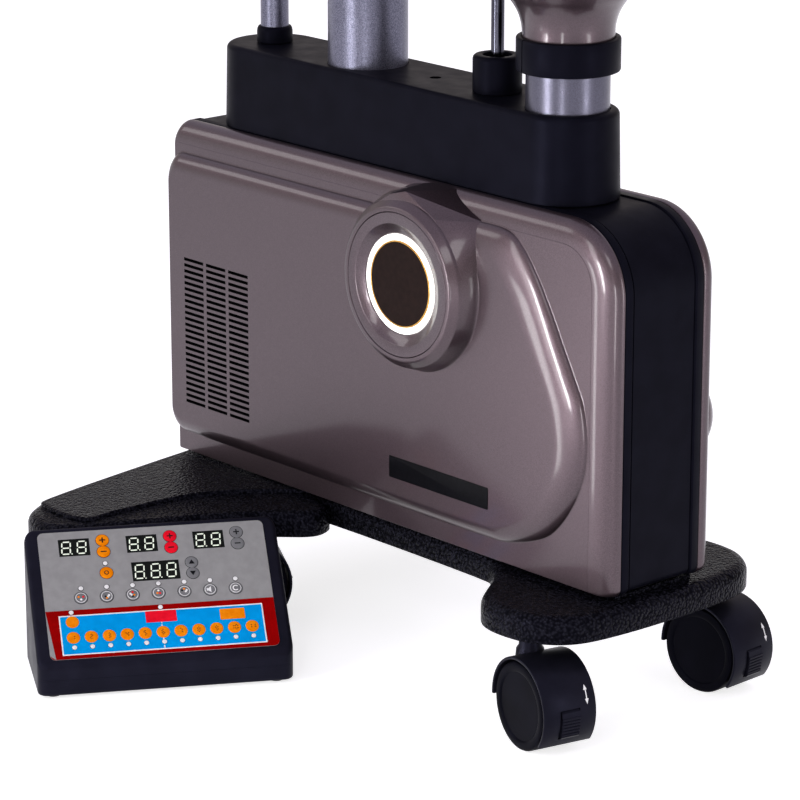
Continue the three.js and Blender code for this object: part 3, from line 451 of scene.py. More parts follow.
def makeBase():
    low, top, shoulder, lip = pick(base, "low", "top", "shoulder", "padLip")
    levels = [(1.5, low), (0.4, low + 0.5), (0, low + 1.6)]
    levels += [(i, top - shoulder + h) for i, h in quarterRoll(shoulder, shoulder, 8)]
    levels.append((shoulder + 1.5, top))
    casting = layered(smoothLoop(bothSides(base["half"]), 4), levels)
    wall = base["plinthTop"] - lip
    levels = [(-1, top - 3), (-1, wall)] + [(i - 1, wall + h) for i, h in quarterRoll(lip, lip, 5)]
    levels.append((lip, base["plinthTop"]))
    pad = layered(smoothLoop(bothSides(base["padHalf"]), 4), levels)
    plinth = boxShape(*base["plinth"], low + 8, base["plinthTop"])
    addPiece("castBase", [(s, "hammertoneBlack") for s in (casting, pad, plinth)],
             hides="base_plate", sharp=50)


# Slab body: black band between two champagne covers
slab = {
    "half": 285, "low": 121, "high": 433, "frontTop": 60, "rearTop": 16, "lowCorner": 8,
    "band": 45, "rimWide": 9, "rimRise": 1.2, "coverGap": 0.3,
}


def cornerLoop(corners):
    # (x, z, radius, steps) of each corner, from the low front one over the top
    out = []
    for k, (x, z, radius, steps) in enumerate(corners):
        out += arcPoints(x, z, radius, 90 * k - 90, 90 * k, steps)
    return out


def slabOutline(inset, front=1.0, top=1.0, rear=1.0, foot=1.0):
    # front, top, rear and foot are the shares of the inset taken on each side
    x0, x1 = -slab["half"] + inset * rear, slab["half"] - inset * front
    z0, z1 = slab["low"] + inset * foot, slab["high"] - inset * top
    large, small = max(slab["frontTop"] - inset, 2), max(slab["rearTop"] - inset * 0.5, 3)
    corner = max(slab["lowCorner"] - inset * 0.5, 2)
    rearFoot = 1.5 + corner * 0.8 * foot
    return cornerLoop([(x1 - corner, z0 + corner, corner, 6), (x1 - large, z1 - large, large, 28),
                       (x0 + small, z1 - small, small, 10), (x0 + rearFoot, z0 + rearFoot, rearFoot, 6)])


def makeBand():
    edge, rise = slab["band"], slab["rimRise"]
    rim = edge - slab["rimWide"]
    near = [(edge, 1.2), (edge - 0.4, 0.4), (edge - 1.2, 0), (rim + 1, 0), (rim + 0.3, 0.5), (rim, rise),
            (rim - 0.4, rise + 1), (rim - 1.2, rise + 1), (rim - 1.6, rise), (rim - 3, rise)]
    levels = [(-y, i) for y, i in near] + near[::-1]
    shape = ringsShape([upright(slabOutline(i), y) for y, i in levels])
    addPiece("centreBand", (shape, "satinBlack"), hides="body_frame")


nearCover = {
    "depth": 13, "roll": 26, "sides": (1.0, 0.79, 0.12, 0.07), "face": 22.5, "left": -283, "faceLeft": -280.5,
    "radius": 15, "faceRadius": 12, "lip": 0.9,
    # panel: outline on the cover and edge of the flat face, from low rear round the front to high rear
    "outline": [
        (-120, 141.5), (60, 141), (135, 141), (168, 143), (206, 156), (226, 172), (243, 196), (254, 223),
        (257, 250), (252, 280), (241, 302), (226, 329), (214, 351), (202, 371), (190, 388), (178, 401.5),
        (168, 409), (155, 412.6), (133, 413), (122, 411.6), (115, 407), (112, 399), (100, 388), (60, 380),
        (30, 390), (14, 402), (-4, 404.5), (-60, 404.5), (-120, 404.5)],
    "faceEdge": [
        (-120, 155), (60, 155), (135, 155), (158, 157), (186, 170), (203, 186), (215, 203), (223, 224),
        (225.5, 246), (221, 268), (214, 287), (204, 304), (194, 319), (183, 337), (173, 353), (165, 367),
        (157, 379), (148, 387), (139, 390.5), (131, 389.5), (126, 385.5), (123, 380), (104, 373),
        (60, 365), (20, 376), (4, 386), (-12, 388), (-60, 388), (-120, 388)],
    # share of the way from outline to face, and share of the rise
    "section": [
        (0, 0), (0.01, 0.08), (0.035, 0.19), (0.076, 0.3), (0.124, 0.4), (0.18, 0.49), (0.248, 0.585),
        (0.328, 0.675), (0.414, 0.755), (0.5, 0.818), (0.586, 0.868), (0.69, 0.921), (0.793, 0.965),
        (0.879, 0.988), (0.948, 0.997), (1, 1)],
}
boss = {
    "x": 57, "z": 350, "rise": 22.5, "recess": 4.5, "bezel": 62.3, "thick": 4,
    "side": [(79.5, 22), (78.4, 22.6), (77.7, 23.8), (77.2, 26), (72.8, 38.2), (72.2, 39.2), (71.4, 40),
             (67.4, 43.9), (66.7, 44.6), (65.6, 45)],
    # the neck above it: x, height and depth of its corners, and radius and depth of its foot
    "neck": [(44, 425.5, 40), (61, 430.4, 38), (97, 412.5, 37), (33, 428.5, 1), (57, 432.4, 1),
             (76, 433.1, 1), (91, 432, 1.5), (132.2, 412, 12.4), (-6, 407, 12)],
    "neckFoot": [(72.4, 38), (77, 24)], "neckEdge": 0.9,
}
vents = {"left": -259.4, "right": -168.2, "low": 173.3, "high": 312.8, "columns": 3, "rows": 25, "bar": 4,
         "openShare": 0.52, "deep": 5}


def towardsNear(shape, start=0):
    # height z of a flat shape becomes depth towards -Y
    return [(x, -slab["band"] - slab["coverGap"] - z - start, y) for x, y, z in shape[0]], shape[1]


def towardsFar(shape):
    return [(x, slab["band"] + slab["coverGap"] + z, y) for x, y, z in shape[0]], shape[1]


def panelLoop(front, left, radius):
    line = smoothLine(front, 5)
    high, low = (left, line[-1][1]), (left, line[0][1])
    return line + roundedCorner(line[-1], high, low, radius) + roundedCorner(high, low, line[0], radius)


def makeNearCover():
    depth, roll, face = pick(nearCover, "depth", "roll", "face")
    levels = [(0.6, 0), (0, 0.8)] + [(i, 0.8 + h) for i, h in quarterRoll(roll, depth - 0.8, 16)]
    levels += [(roll + 0.3, depth + 0.3), (roll + 1.5, depth + 0.3)]
    shell = ringsShape([lifted(slabOutline(i, *nearCover["sides"]), d) for i, d in levels])
    top, seat = face + boss["rise"], boss["bezel"]
    profile = [(0, 0), (boss["side"][0][0], 0)] + boss["side"]
    profile += [(seat + 0.5, top), (seat + 0.1, top - 0.4), (seat, top - 1.2), (seat, top - 8.5),
                (0, top - 8.5)]
    drum = moved(latheShape(profile, 128), boss["x"], boss["z"])
    corners = list(boss["neck"])
    for radius, d in boss["neckFoot"]:
        corners += lifted(arcPoints(boss["x"], boss["z"], radius, 0, 180, 40), d)
    addPiece("nearCoverShell", [(towardsNear(s), "champagneLacquer") for s in (shell, drum)],
             hides="near_cover", sharp=40)
    addPiece("bossNeck", (towardsNear(hullShape(corners)), "champagneLacquer"),
             slot="near_cover", soft=boss["neckEdge"], softAngle=9, sharp=60)

    outline = panelLoop(nearCover["outline"], nearCover["left"], nearCover["radius"])
    inner = panelLoop(nearCover["faceEdge"], nearCover["faceLeft"], nearCover["faceRadius"])
    start = depth + 0.6
    lip = insetLoop(outline, -nearCover["lip"])
    rings = [lifted(lip, 4), lifted(lip, depth + 0.35), lifted(insetLoop(outline, -0.15), start)]
    for share, rise in nearCover["section"]:
        rings.append([(a[0] + (b[0] - a[0]) * share, a[1] + (b[1] - a[1]) * share,
                       start + (face - start) * rise) for a, b in zip(outline, inner)])
    rings.append(lifted(insetLoop(inner, 1), face))
    panel = addPiece("nearPanel", (towardsNear(ringsShape(rings)), "champagneLacquer"),
                     slot="near_cover", sharp=40)
    slots = []
    pitchX = (vents["right"] - vents["left"] + vents["bar"]) / vents["columns"]
    pitchZ = (vents["high"] - vents["low"]) / vents["rows"]
    for c in range(vents["columns"]):
        for r in range(vents["rows"]):
            x, z = vents["left"] + c * pitchX, vents["low"] + r * pitchZ
            slots.append(boxShape(x, x + pitchX - vents["bar"], z, z + pitchZ * vents["openShare"],
                                  face - vents["deep"], face + 1))
    # the vent pockets are coloured with painted shade, darker than the panel, in place of the shade inside
    # the vents
    carve(panel, towardsNear(joinShapes(slots)), "paintedHoleShade", 40)


# radius and height above the floor of the boss
emblem = {
    "bezel": [(43.4, 0.3), (62.1, 0.3), (62.1, 7.9), (61.7, 8.3), (53.1, 8.3), (52.3, 8), (51.7, 7.4),
              (44.7, 4.4), (43.9, 4), (43.4, 3.4), (43.4, 0.3)],
    "glow": [(37.5, 0.3), (43.1, 0.3), (43.1, 3.9), (42.5, 4.5), (38.1, 4.5), (37.5, 3.9), (37.5, 0.3)],
    "edge": [(36.1, 0.3), (37.3, 0.3), (37.3, 4.4), (37, 4.7), (36.4, 4.7), (36.1, 4.4), (36.1, 0.3)],
    "disc": [(0, 0.3), (36, 0.3), (36, 4.2), (35.6, 4.5), (0, 4.6)],
}


def makeEmblem():
    floorDepth = nearCover["face"] + boss["rise"] - boss["recess"] - boss["thick"]

    def place(part, finish):
        flat = towardsNear(latheShape(emblem[part], 128), floorDepth)
        return moved(flat, boss["x"], 0, boss["z"]), finish

    addPiece("emblemBezel", place("bezel", "turnedBezel"), hides="emblem_bezel", sharp=25)
    addPiece("emblemLight", place("glow", "litRing"), hides="emblem_light_ring")
    addPiece("emblemDisc", [place("disc", "emblemBrown"), place("edge", "goldEdge")],
             hides="emblem_disc")


label = {"place": (22.6, 148, 168.6, 188), "corner": 1, "levels": [(0, 0), (0, 0.35), (0.2, 0.45)]}


def makeLabel():
    strip = layered(roundedLoop(rectLoop(*label["place"]), label["corner"], 4), label["levels"])
    addPiece("labelStrip", (towardsNear(strip, nearCover["face"] - 0.05), "labelBlack"),
             hides="label_strip")


farCover = {"roll": 8, "knobX": 236, "knobZ": 284, "domeZ": 250, "domeRadius": 40, "domeRise": 29,
            "knobRadius": 14.5, "knobLong": 31, "knobRibs": 24}


def makeFarCover():
    depth, roll = nearCover["depth"], farCover["roll"]
    levels = [(0.6, 0), (0, 0.8)] + [(i, depth - roll + h) for i, h in quarterRoll(roll, roll, 10)]
    levels.append((roll + 2, depth))
    shell = ringsShape([lifted(slabOutline(i), d) for i, d in levels])
    radius, rise = pick(farCover, "domeRadius", "domeRise")
    profile = [(0, 1), (radius + 2, 1), (radius + 2, depth), (radius + 0.6, depth + 0.5), (radius, depth + 2)]
    profile += [(radius * math.cos(t), depth + 2 + (rise - 2) * math.sin(t))
                for t in [math.pi / 2 * i / 12 for i in range(1, 13)]]
    profile[-1] = (0, depth + rise)
    dome = moved(latheShape(profile, 72), farCover["knobX"], farCover["domeZ"])
    addPiece("farCoverShell", [(towardsFar(s), "champagneLacquer") for s in (shell, dome)],
             hides="far_cover", sharp=40)
    r, start, ribs = farCover["knobRadius"], depth + 0.8, farCover["knobRibs"]
    end = start + farCover["knobLong"]
    knob = latheShape([(0, start - 3), (4, start - 3), (4, start), (r - 0.5, start), (r, start + 0.5),
                       (r, end - 2), (r - 0.6, end - 0.6), (r - 2, end), (0, end)], 48)
    rib = boxShape(r - 0.6, r + 0.5, -0.7, 0.7, start + 2, end - 3)
    grip = joinShapes([turnedAbout(rib, "Z", i * 360 / ribs) for i in range(ribs)])
    mark = boxShape(-0.7, 0.7, 3, r - 1.5, end - 0.2, end + 0.5)
    parts = [(towardsFar(moved(s, farCover["knobX"], farCover["knobZ"])), f)
             for s, f in ((knob, "satinBlack"), (grip, "satinBlack"), (mark, "keyWhite"))]
    addPiece("sideKnob", parts, hides="side_knob", rides="side_knob")


# Deck, tubes and rod
deck = {"radius": 43, "flare": 1.6, "low": 433.3, "high": 507.3, "edge": 5, "holeX": 5.7,
        # radius, depth and steps of the hole, the rod's well and the seats of the three tubes
        "hole": (5, 24, 40), "well": (17.5, 30, 48), "mastSeat": (35.5, 8, 96), "frontSeat": (35.6, 8, 96),
        "rearSeat": (13.2, 8, 96)}
mastX, frontX, rearX, rodX = -82, 168, -209, 83
tubes = {
    "mast": {"x": mastX, "outer": 35, "inner": 32.5, "low": 400, "high": 880, "finish": "silverHammer"},
    "front": {"x": frontX, "outer": 35, "inner": 32.5, "low": 352, "high": 600, "finish": "satinTube"},
    "rear": {"x": rearX, "outer": 12.6, "inner": 11.1, "low": 436, "high": 886, "finish": "silverHammer"},
}
# radius and height above the deck
collarLoop = [(12.9, 0), (15.4, 0), (16, 0.6), (16, 10), (15.6, 12.4), (14.6, 14.2), (13.8, 14.7),
              (12.9, 14.7)]
bushingLoop = [(12.4, 0), (20.6, 0), (21, 0.5), (21, 28.2), (20.4, 30.2), (19, 31.4), (17.6, 31.7),
               (13.6, 31.7), (12.6, 31.2), (12.4, 30.4)]


def stadium(rear, front, radius, steps):
    return arcPoints(front, 0, radius, -90, 90, steps) + arcPoints(rear, 0, radius, 90, 270, steps)


def makeDeck():
    edge, high, low, radius, flare = pick(deck, "edge", "high", "low", "radius", "flare")
    levels = [(radius + flare - 0.6, low), (radius + flare, low + 0.6)]
    levels += [(radius + flare * (1 - k / 6), low + (high - edge - low) * k / 6) for k in range(1, 7)]
    levels += [(radius - i, high - edge + h) for i, h in quarterRoll(edge, edge, 8)]
    levels.append((radius - edge - 1, high))
    shape = ringsShape([lifted(stadium(rearX, frontX, r, 40), z) for r, z in levels])
    piece = addPiece("tubeDeck", (shape, "satinBlack"), hides="deck")
    cutters = []
    for x, key in ((deck["holeX"], "hole"), (rodX, "well"), (mastX, "mastSeat"), (frontX, "frontSeat"),
                   (rearX, "rearSeat")):
        r, deep, steps = deck[key]
        cutters.append(moved(latheShape(rectLoop(0, r, high - deep, high + 2), steps), x))
    # the walls and floors of the hole, the well and the tube seats are coloured with painted shade
    carve(piece, joinShapes(cutters), "paintedHoleShade")


def makeTubes():
    for name, tube in tubes.items():
        outer, inner, low, high = pick(tube, "outer", "inner", "low", "high")
        loop = [(inner, low), (outer, low), (outer, high - 0.6), (outer - 0.6, high), (inner, high)]
        addPiece(name + "Tube", (moved(latheRing(loop, 96), tube["x"]), tube["finish"]),
                 hides=name + "_tube")
    low = deck["high"] + 0.3
    for name, node, loop, x in (("rearCollar", "rear_collar", collarLoop, rearX),
                                ("rodBushing", "rod_bushing", bushingLoop, rodX)):
        ring = latheRing([(r, low + z) for r, z in loop], 72)
        addPiece(name, (moved(ring, x), "satinBlack"), hides=node)


pushRod = {"low": 458, "high": 706, "radius": 5.6, "foot": 8.6, "pinZ": 700, "pinHalf": 13, "pin": 3}


def makeRod():
    low, high, r, foot = pick(pushRod, "low", "high", "radius", "foot")
    stem = latheShape([(0, low), (foot - 0.6, low), (foot, low + 0.6), (foot, low + 5.4),
                       (foot - 0.6, low + 6), (r, low + 6), (r, high - 1.2), (r - 1, high), (0, high)], 40)
    half, thick = pushRod["pinHalf"], pushRod["pin"]
    pin = latheShape([(0, -half), (thick - 0.4, -half), (thick, -half + 0.5), (thick, half - 0.5),
                      (thick - 0.4, half), (0, half)], 24)
    pin = moved(turnedAbout(pin, "X", 90), 0, 0, pushRod["pinZ"])
    addPiece("pushRod", [(moved(s, rodX), "polishedSteel") for s in (stem, pin)], hides="push_rod",
             rides="push_rod")


clampRing = {"radius": 43.3, "bore": 38.6, "low": 539, "high": 567, "edge": 1.6, "splitTurn": -105,
             "split": 1.4, "steps": 120}


def makeClampRing():
    r, bore, low, high, e = pick(clampRing, "radius", "bore", "low", "high", "edge")
    profile = [(bore, low), (r - e, low), (r - e * 0.3, low + e * 0.3), (r, low + e), (r, high - e),
               (r - e * 0.3, high - e * 0.3), (r - e, high), (bore + 0.6, high), (bore, high - 0.6)]
    half = math.degrees(clampRing["split"] / 2 / r)
    ring = latheShape(profile, clampRing["steps"], clampRing["splitTurn"] + half, 360 - 2 * half)
    addPiece("clampRing", (moved(ring, frontX), "satinBlack"), hides="clamp_ring")
    screw = latheShape([(0, 39.2), (2, 39.2), (2, r + 0.3), (4, r + 0.3), (4, r + 8.2), (3.4, r + 8.9),
                        (2.2, r + 9), (1.9, r + 7), (0, r + 7)], 24)
    screw = moved(turnedAbout(screw, "X", -90), frontX, 0, (low + high) / 2)
    addPiece("clampScrew", (screw, "zincPlate"), hides="clamp_screw", rides="clamp_screw")


# Head: flaring neck, two shells, nozzle
head = {
    "pivotZ": 700, "halfY": 44, "rear": 100, "front": 262, "low": 660, "high": 790, "round": 34,
    "shotZ": 719.5, "wall": 3, "edge": 9,
    "neck": [(38.3, 568), (38.8, 577), (41.5, 587), (46.5, 596), (53, 604), (60, 614), (66, 628), (69, 650)],
    # from bendLow up the neck reaches further to the rear, all of it after bendRise
    "bendLow": 568, "bendRise": 28, "bendShare": 0.05,
    # ears beside the head: height and radius of the top, foot, and (depth, inset) levels
    "ear": (703, 23), "earFoot": [(-23, 640), (-19, 622), (19, 622), (23, 640)],
    "earLevels": [(47.6, 0.6), (48.2, 0), (51.8, 0), (52.4, 0.6)],
    "bolt": [(0, 40.6), (4.2, 40.6), (4.5, 41), (4.5, 52.9), (8.6, 52.9), (9, 53.3), (9, 54.6), (8.2, 55.3),
             (4.6, 55.3), (4.2, 54.3), (0, 54.3)],
    # radius, rear end and length of the mouth; radius, low and high of the way in
    "mouth": (27.3, 215, 90), "entry": (31, -10, 12),
    "lug": [(76, -10), (72, -8), (70, -4), (70, 4), (72, 8), (76, 10), (101, 10), (101, -10)],
    "lugSlot": (77.6, 87.4, 3.6),
    "nozzle": [(24.5, 0), (27, 0), (27, 40), (27.4, 42.4), (28.4, 44.6), (29, 45.2), (28.8, 46), (27.6, 46),
               (25.6, 44.6), (24.7, 42), (24.5, 38)],
    "collar": [(27.4, 0), (31.6, 0), (32, 0.4), (32, 2), (31.4, 2.6), (27.4, 2.6)],
}


def makeNeck():
    outer = smoothLine(head["neck"], 6)
    inner = [(r - head["wall"], z) for r, z in outer][::-1]
    loop = [(35.3, 541), (38, 541), (38.3, 541.6)] + outer + [(68.4, 651.2), (66.6, 651.2)] + inner
    points, faces = latheRing(loop, 112)
    bent = []
    for x, y, z in points:
        share = min(1, max(0, (z - head["bendLow"]) / head["bendRise"]))
        bent.append((x * (1 + head["bendShare"] * share) if x < 0 else x, y, z))
    shapes = [(bent, faces)]
    for side in (-1, 1):
        ear = arcPoints(0, *head["ear"], 0, 180, 20) + head["earFoot"]
        shapes.append(sideways(ear, [(side * y, i) for y, i in head["earLevels"]]))
    addPiece("headNeck", [(moved(s, frontX), "champagneLacquer") for s in shapes], hides="head_neck",
             rides="head_turn", sharp=45)
    for name, side in (("near", -1), ("far", 1)):
        bolt = turnedAbout(latheShape(head["bolt"], 36), "X", -90 * side)
        addPiece(name + "PivotBolt", (moved(bolt, frontX, 0, head["pivotZ"]), "zincPlate"),
                 hides=name + "_pivot_bolt", rides="head_turn")


def headOutline(inset):
    r = max(head["round"] - inset, 3)
    x0, x1, z0, z1 = head["rear"] + inset, head["front"] - inset, head["low"] + inset, head["high"] - inset
    return cornerLoop([(x, z, r, 16) for x, z in ((x1 - r, z0 + r), (x1 - r, z1 - r), (x0 + r, z1 - r),
                                                  (x0 + r, z0 + r))])


def makeHead():
    edge, wall, half = pick(head, "edge", "wall", "halfY")
    outside = [(i, half - edge + h) for i, h in quarterRoll(edge, edge, 8)[::-1]]
    inside = [(i + wall, half - edge + h) for i, h in quarterRoll(edge - wall, edge - wall, 5)[1:]]
    levels = [(edge + 1.5, half)] + outside + [(0, 0.15), (wall, 0.15), (wall, half - edge)] + inside
    levels.append((edge + 1.5, half - wall))
    radius, x, long = head["mouth"]
    mouth = turnedAbout(latheShape(rectLoop(0, radius, 0, long), 64), "Y", 90)
    mouth = moved(mouth, x, 0, head["shotZ"])
    radius, low, high = head["entry"]
    entry = moved(latheShape(rectLoop(0, radius, low, high), 48), frontX, 0, head["low"])
    slotLoop = stadium(*head["lugSlot"], 10)
    for name, side in (("near", -1), ("far", 1)):
        shell = ringsShape([upright(headOutline(i), side * y) for i, y in levels])
        piece = addPiece(name + "HeadShell", (shell, "champagneLacquer"), hides="head_shell_" + name,
                         rides="head_tilt", sharp=45)
        for cutter in (mouth, entry):
            carve(piece, cutter, "champagneLacquer", 45)
        lug, cutter = (moved(ringsShape([upright(loop, y * side) for y in span]), 0, 0, head["pivotZ"])
                       for loop, span in ((head["lug"], (7, 11)), (slotLoop, (5, 13))))
        lugPiece = addPiece(name + "Lug", (lug, "champagneLacquer"), slot="head_shell_" + name,
                            rides="head_tilt")
        carve(lugPiece, cutter, "champagneLacquer")
    for name, part, x, use in (("throwNozzle", "nozzle", 256, {"hides": "nozzle"}),
                               ("nozzleCollar", "collar", 260.5, {"slot": "nozzle"})):
        ring = turnedAbout(latheRing(head[part], 80), "Y", 90)
        addPiece(name, (moved(ring, x, 0, head["shotZ"]), "satinBlack"), rides="head_tilt", **use)


hopper = {"radius": 175, "top": 1010, "throat": 892, "foot": 852, "ribs": 8, "ribHalf": 1.4,
          "socket": [(12.8, 846), (15.4, 846), (15.9, 846.6), (15.9, 930), (0, 934), (0, 886.6),
                     (12.8, 886.6)]}


def makeHopper():
    r, top, throat, foot = pick(hopper, "radius", "top", "throat", "foot")
    slopeTop = top - r / 3
    loop = [(35.5, foot), (38, foot), (38.3, foot + 0.4), (38.3, throat - 2), (39.4, throat + 0.6)]
    loop += [(39.4 + (r - 42) * k / 10, throat + 0.6 + (slopeTop - throat - 3) * k / 10)
             for k in range(1, 11)]
    loop += [(r - 0.8, slopeTop), (r - 0.4, slopeTop + 2), (r - 0.4, top - 8), (r, top - 7), (r, top - 0.8),
             (r - 0.8, top), (r - 3.2, top), (r - 4, top - 0.8), (r - 4, slopeTop + 2),
             (r - 6, slopeTop + 0.6), (32.5, throat + 3), (32.2, throat), (32.2, 880.4), (35.4, 880.4),
             (35.4, foot)]
    bowl = moved(latheRing(loop, 120), mastX)
    socket = moved(latheRing(hopper["socket"], 48), rearX)
    ribLoop = [(38, throat - 26), (40, throat - 28), (150, slopeTop - 12), (150, slopeTop - 6),
               (39, throat - 4)]
    rib = ringsShape([upright(ribLoop, y) for y in (-hopper["ribHalf"], hopper["ribHalf"])])
    pitch = 360 / hopper["ribs"]
    ribs = [moved(turnedAbout(rib, "Z", pitch * (k + 0.5)), mastX) for k in range(hopper["ribs"])]
    addPiece("ballHopper", [(s, "satinBlack") for s in [bowl, socket] + ribs],
             hides="ball_hopper", sharp=40)


# Casters
caster = {
    "radius": 37.5, "wide": 50, "hood": 42, "hoodWall": 2.6, "start": -38, "end": 182, "trail": 22,
    "stem": 9.5, "leverWide": 17, "leverLong": 24, "leverTurn": 8, "leverRibs": 6, "leverGap": 0.9, "web": 7,
    "soft": 0.9,
    # white double arrow beside the lever: angles round the hood and half widths
    "arrowY": 16.5, "stroke": (17, 29), "strokeHalf": 0.5, "tips": [(12, 1), (34, -1)], "tipLong": 6,
    "tipHalf": 1.7, "markLift": 0.12,
    # place and turn of each
    "spots": {"front_near": (235, -100, -12), "front_far": (233, 101, 3), "rear_near": (-160, -113, 59.7),
              "rear_far": (-185, 205, 20)},
}


def hoodMark(widths):
    # a band on the hood, from (angle, half width) pairs
    rings = []
    for angle, half in widths:
        t, ring = math.radians(angle), []
        for side, lift in ((-1, -0.3), (1, -0.3), (1, caster["markLift"]), (-1, caster["markLift"])):
            out = caster["hood"] + lift
            ring.append((out * math.cos(t), caster["arrowY"] + side * half, out * math.sin(t)))
        rings.append(ring)
    return ringsShape(rings)


def arrowShape():
    start, end = caster["stroke"]
    marks = [hoodMark([(start + (end - start) * s / 8, caster["strokeHalf"]) for s in range(9)])]
    for tip, way in caster["tips"]:
        marks.append(hoodMark([(tip, 0.1), (tip + way * caster["tipLong"], caster["tipHalf"])]))
    return joinShapes(marks)


def makeCaster(name, x, y, turn):
    r, hood, wall, stem, web = pick(caster, "radius", "hood", "hoodWall", "stem", "web")
    start, end, soft = pick(caster, "start", "end", "soft")
    half, inner = caster["wide"] / 2, hood - wall

    def place(shape):
        return moved(turnedAbout(moved(shape, caster["trail"]), "Z", turn), x, y, r)

    arch = arcPoints(0, 0, hood, start, end, 56) + arcPoints(0, 0, inner, end, start, 56)
    arch = sideways(arch, [(-half, soft), (-half + 0.25, soft * 0.3), (-half + soft, 0), (half - soft, 0),
                           (half - 0.25, soft * 0.3), (half, soft)])
    webLoop = [(0, 0)] + arcPoints(0, 0, inner - 0.2, start, end, 48)
    webShape = ringsShape([upright(webLoop, b) for b in (-web / 2, web / 2)])
    hoodPiece = addPiece("casterHood_" + name, [(place(s), "casterBlack") for s in (arch, webShape)],
                         hides="caster_hood_" + name, rides="caster_" + name)
    lw, ll, gap = caster["leverWide"] / 2, caster["leverLong"] / 2, caster["leverGap"]
    window = boxShape(hood - wall * 3, hood + 4, -lw - gap, lw + gap, -13.4, 12.5)
    # the cut walls of the lever window are coloured with painted shade
    carve(hoodPiece, place(turnedAbout(window, "Y", caster["leverTurn"])), "paintedHoleShade")

    top = base["low"] - r - 0.4
    stemShape = latheShape([(0, 30), (stem + 3, 30), (stem + 2.2, hood - 2), (stem, hood + 1.2),
                            (stem, top - 2.4), (stem - 0.6, top - 2), (0, top - 2)], 40)
    washer = latheShape([(0, top - 2), (stem + 0.8, top - 2), (stem + 1.2, top - 1.6), (stem + 1.2, top),
                         (0, top)], 40)
    parts = [(place(moved(s, -caster["trail"])), f)
             for s, f in ((stemShape, "casterBlack"), (washer, "zincPlate"))]
    addPiece("casterStem_" + name, parts, slot="caster_hood_" + name, rides="caster_" + name)

    near, far = web / 2 + 0.6, web / 2 + 20.6
    face = [(0, -far + 1.2), (29, -far + 1.2), (30, -far + 0.5), (31, -far + 0.1), (r - 2.4, -far),
            (r - 0.8, -far + 0.6), (r, -far + 2.2), (r, -near - 1), (r - 1, -near), (4, -near)]
    wheels = latheShape(face + [(a, -b) for a, b in face[::-1]], 96)
    addPiece("casterWheels_" + name, (place(turnedAbout(wheels, "X", 90)), "wheelBlack"),
             hides="caster_wheels_" + name, rides="wheels_" + name, sharp=28)

    profile = [(inner - 0.4, -ll), (hood + 0.6, -ll), (hood + 2.1, -ll + 2)]
    for k in range(caster["leverRibs"]):
        z = -ll + 2.6 + k * (ll + 5) / caster["leverRibs"]
        profile += [(hood + 1.5, z), (hood + 2.3, z + 0.5), (hood + 2.3, z + 1.7), (hood + 1.5, z + 2.1)]
    profile += [(hood + 1.4, 6.4), (hood + 0.2, ll - 1), (inner - 0.4, ll)]
    block = ringsShape([upright(profile, b) for b in (-lw, lw)])
    addPiece("brakeLever_" + name, (place(turnedAbout(block, "Y", caster["leverTurn"])), "casterBlack"),
             hides="caster_brake_" + name, rides="brake_" + name, soft=0.35, softSteps=2)
    addPiece("casterArrow_" + name, (place(arrowShape()), "keyWhite"), slot="caster_hood_" + name,
             rides="caster_" + name)


# Console
console = {"x": -99.2, "y": -358.3, "turn": 59.7, "wide": 221, "deep": 104, "front": 29, "rear": 121,
           "foot": 3, "seam": 17, "corner": 9, "edge": 4.5, "keysWide": 198, "keysLong": 125, "feetIn": 14}


def onFloor(shape):
    return moved(turnedAbout(shape, "Z", console["turn"]), console["x"], console["y"])


def onPanel(shape):
    rise = console["rear"] - console["front"]
    tilt = math.degrees(math.atan(rise / console["deep"]))
    margin = (math.hypot(console["deep"], rise) - console["keysLong"]) / 2
    flat = moved(shape, (console["wide"] - console["keysWide"]) / 2, margin)
    return onFloor(moved(turnedAbout(flat, "X", tilt), 0, 0, console["front"]))


def consoleLoop(inset):
    edges = rectLoop(inset, console["wide"] - inset, inset, console["deep"] - inset)
    return roundedLoop(edges, console["corner"] - inset, 8)


def makeConsole():
    wide, deep, seam, foot = pick(console, "wide", "deep", "seam", "foot")
    edge, front, feetIn = pick(console, "edge", "front", "feetIn")
    levels = [(2.4, foot), (1.1, foot + 0.3), (0.3, foot + 1.1), (0, foot + 2.4), (0, seam)]
    tray = ringsShape([lifted(consoleLoop(i), z) for i, z in levels])
    addPiece("consoleTray", (onFloor(tray), "consoleBlack"), hides="console_base")
    pad = latheShape([(0, 0), (6.4, 0), (7, 0.6), (7, 4), (0, 4)], 40)
    feet = [moved(pad, x, y) for x in (feetIn, wide - feetIn) for y in (feetIn, deep - feetIn)]
    addPiece("consoleFeet", (onFloor(joinShapes(feet)), "softRubber"), slot="console_base")
    slope = (console["rear"] - front) / deep
    rings = [lifted(consoleLoop(0), seam + 0.15)]
    for inset, rise in quarterRoll(edge, edge, 8):
        rings.append([(x, y, front + slope * y - edge + rise) for x, y in consoleLoop(inset)])
    addPiece("consoleLid", (onFloor(ringsShape(rings)), "consoleBlack"), hides="console_cover")


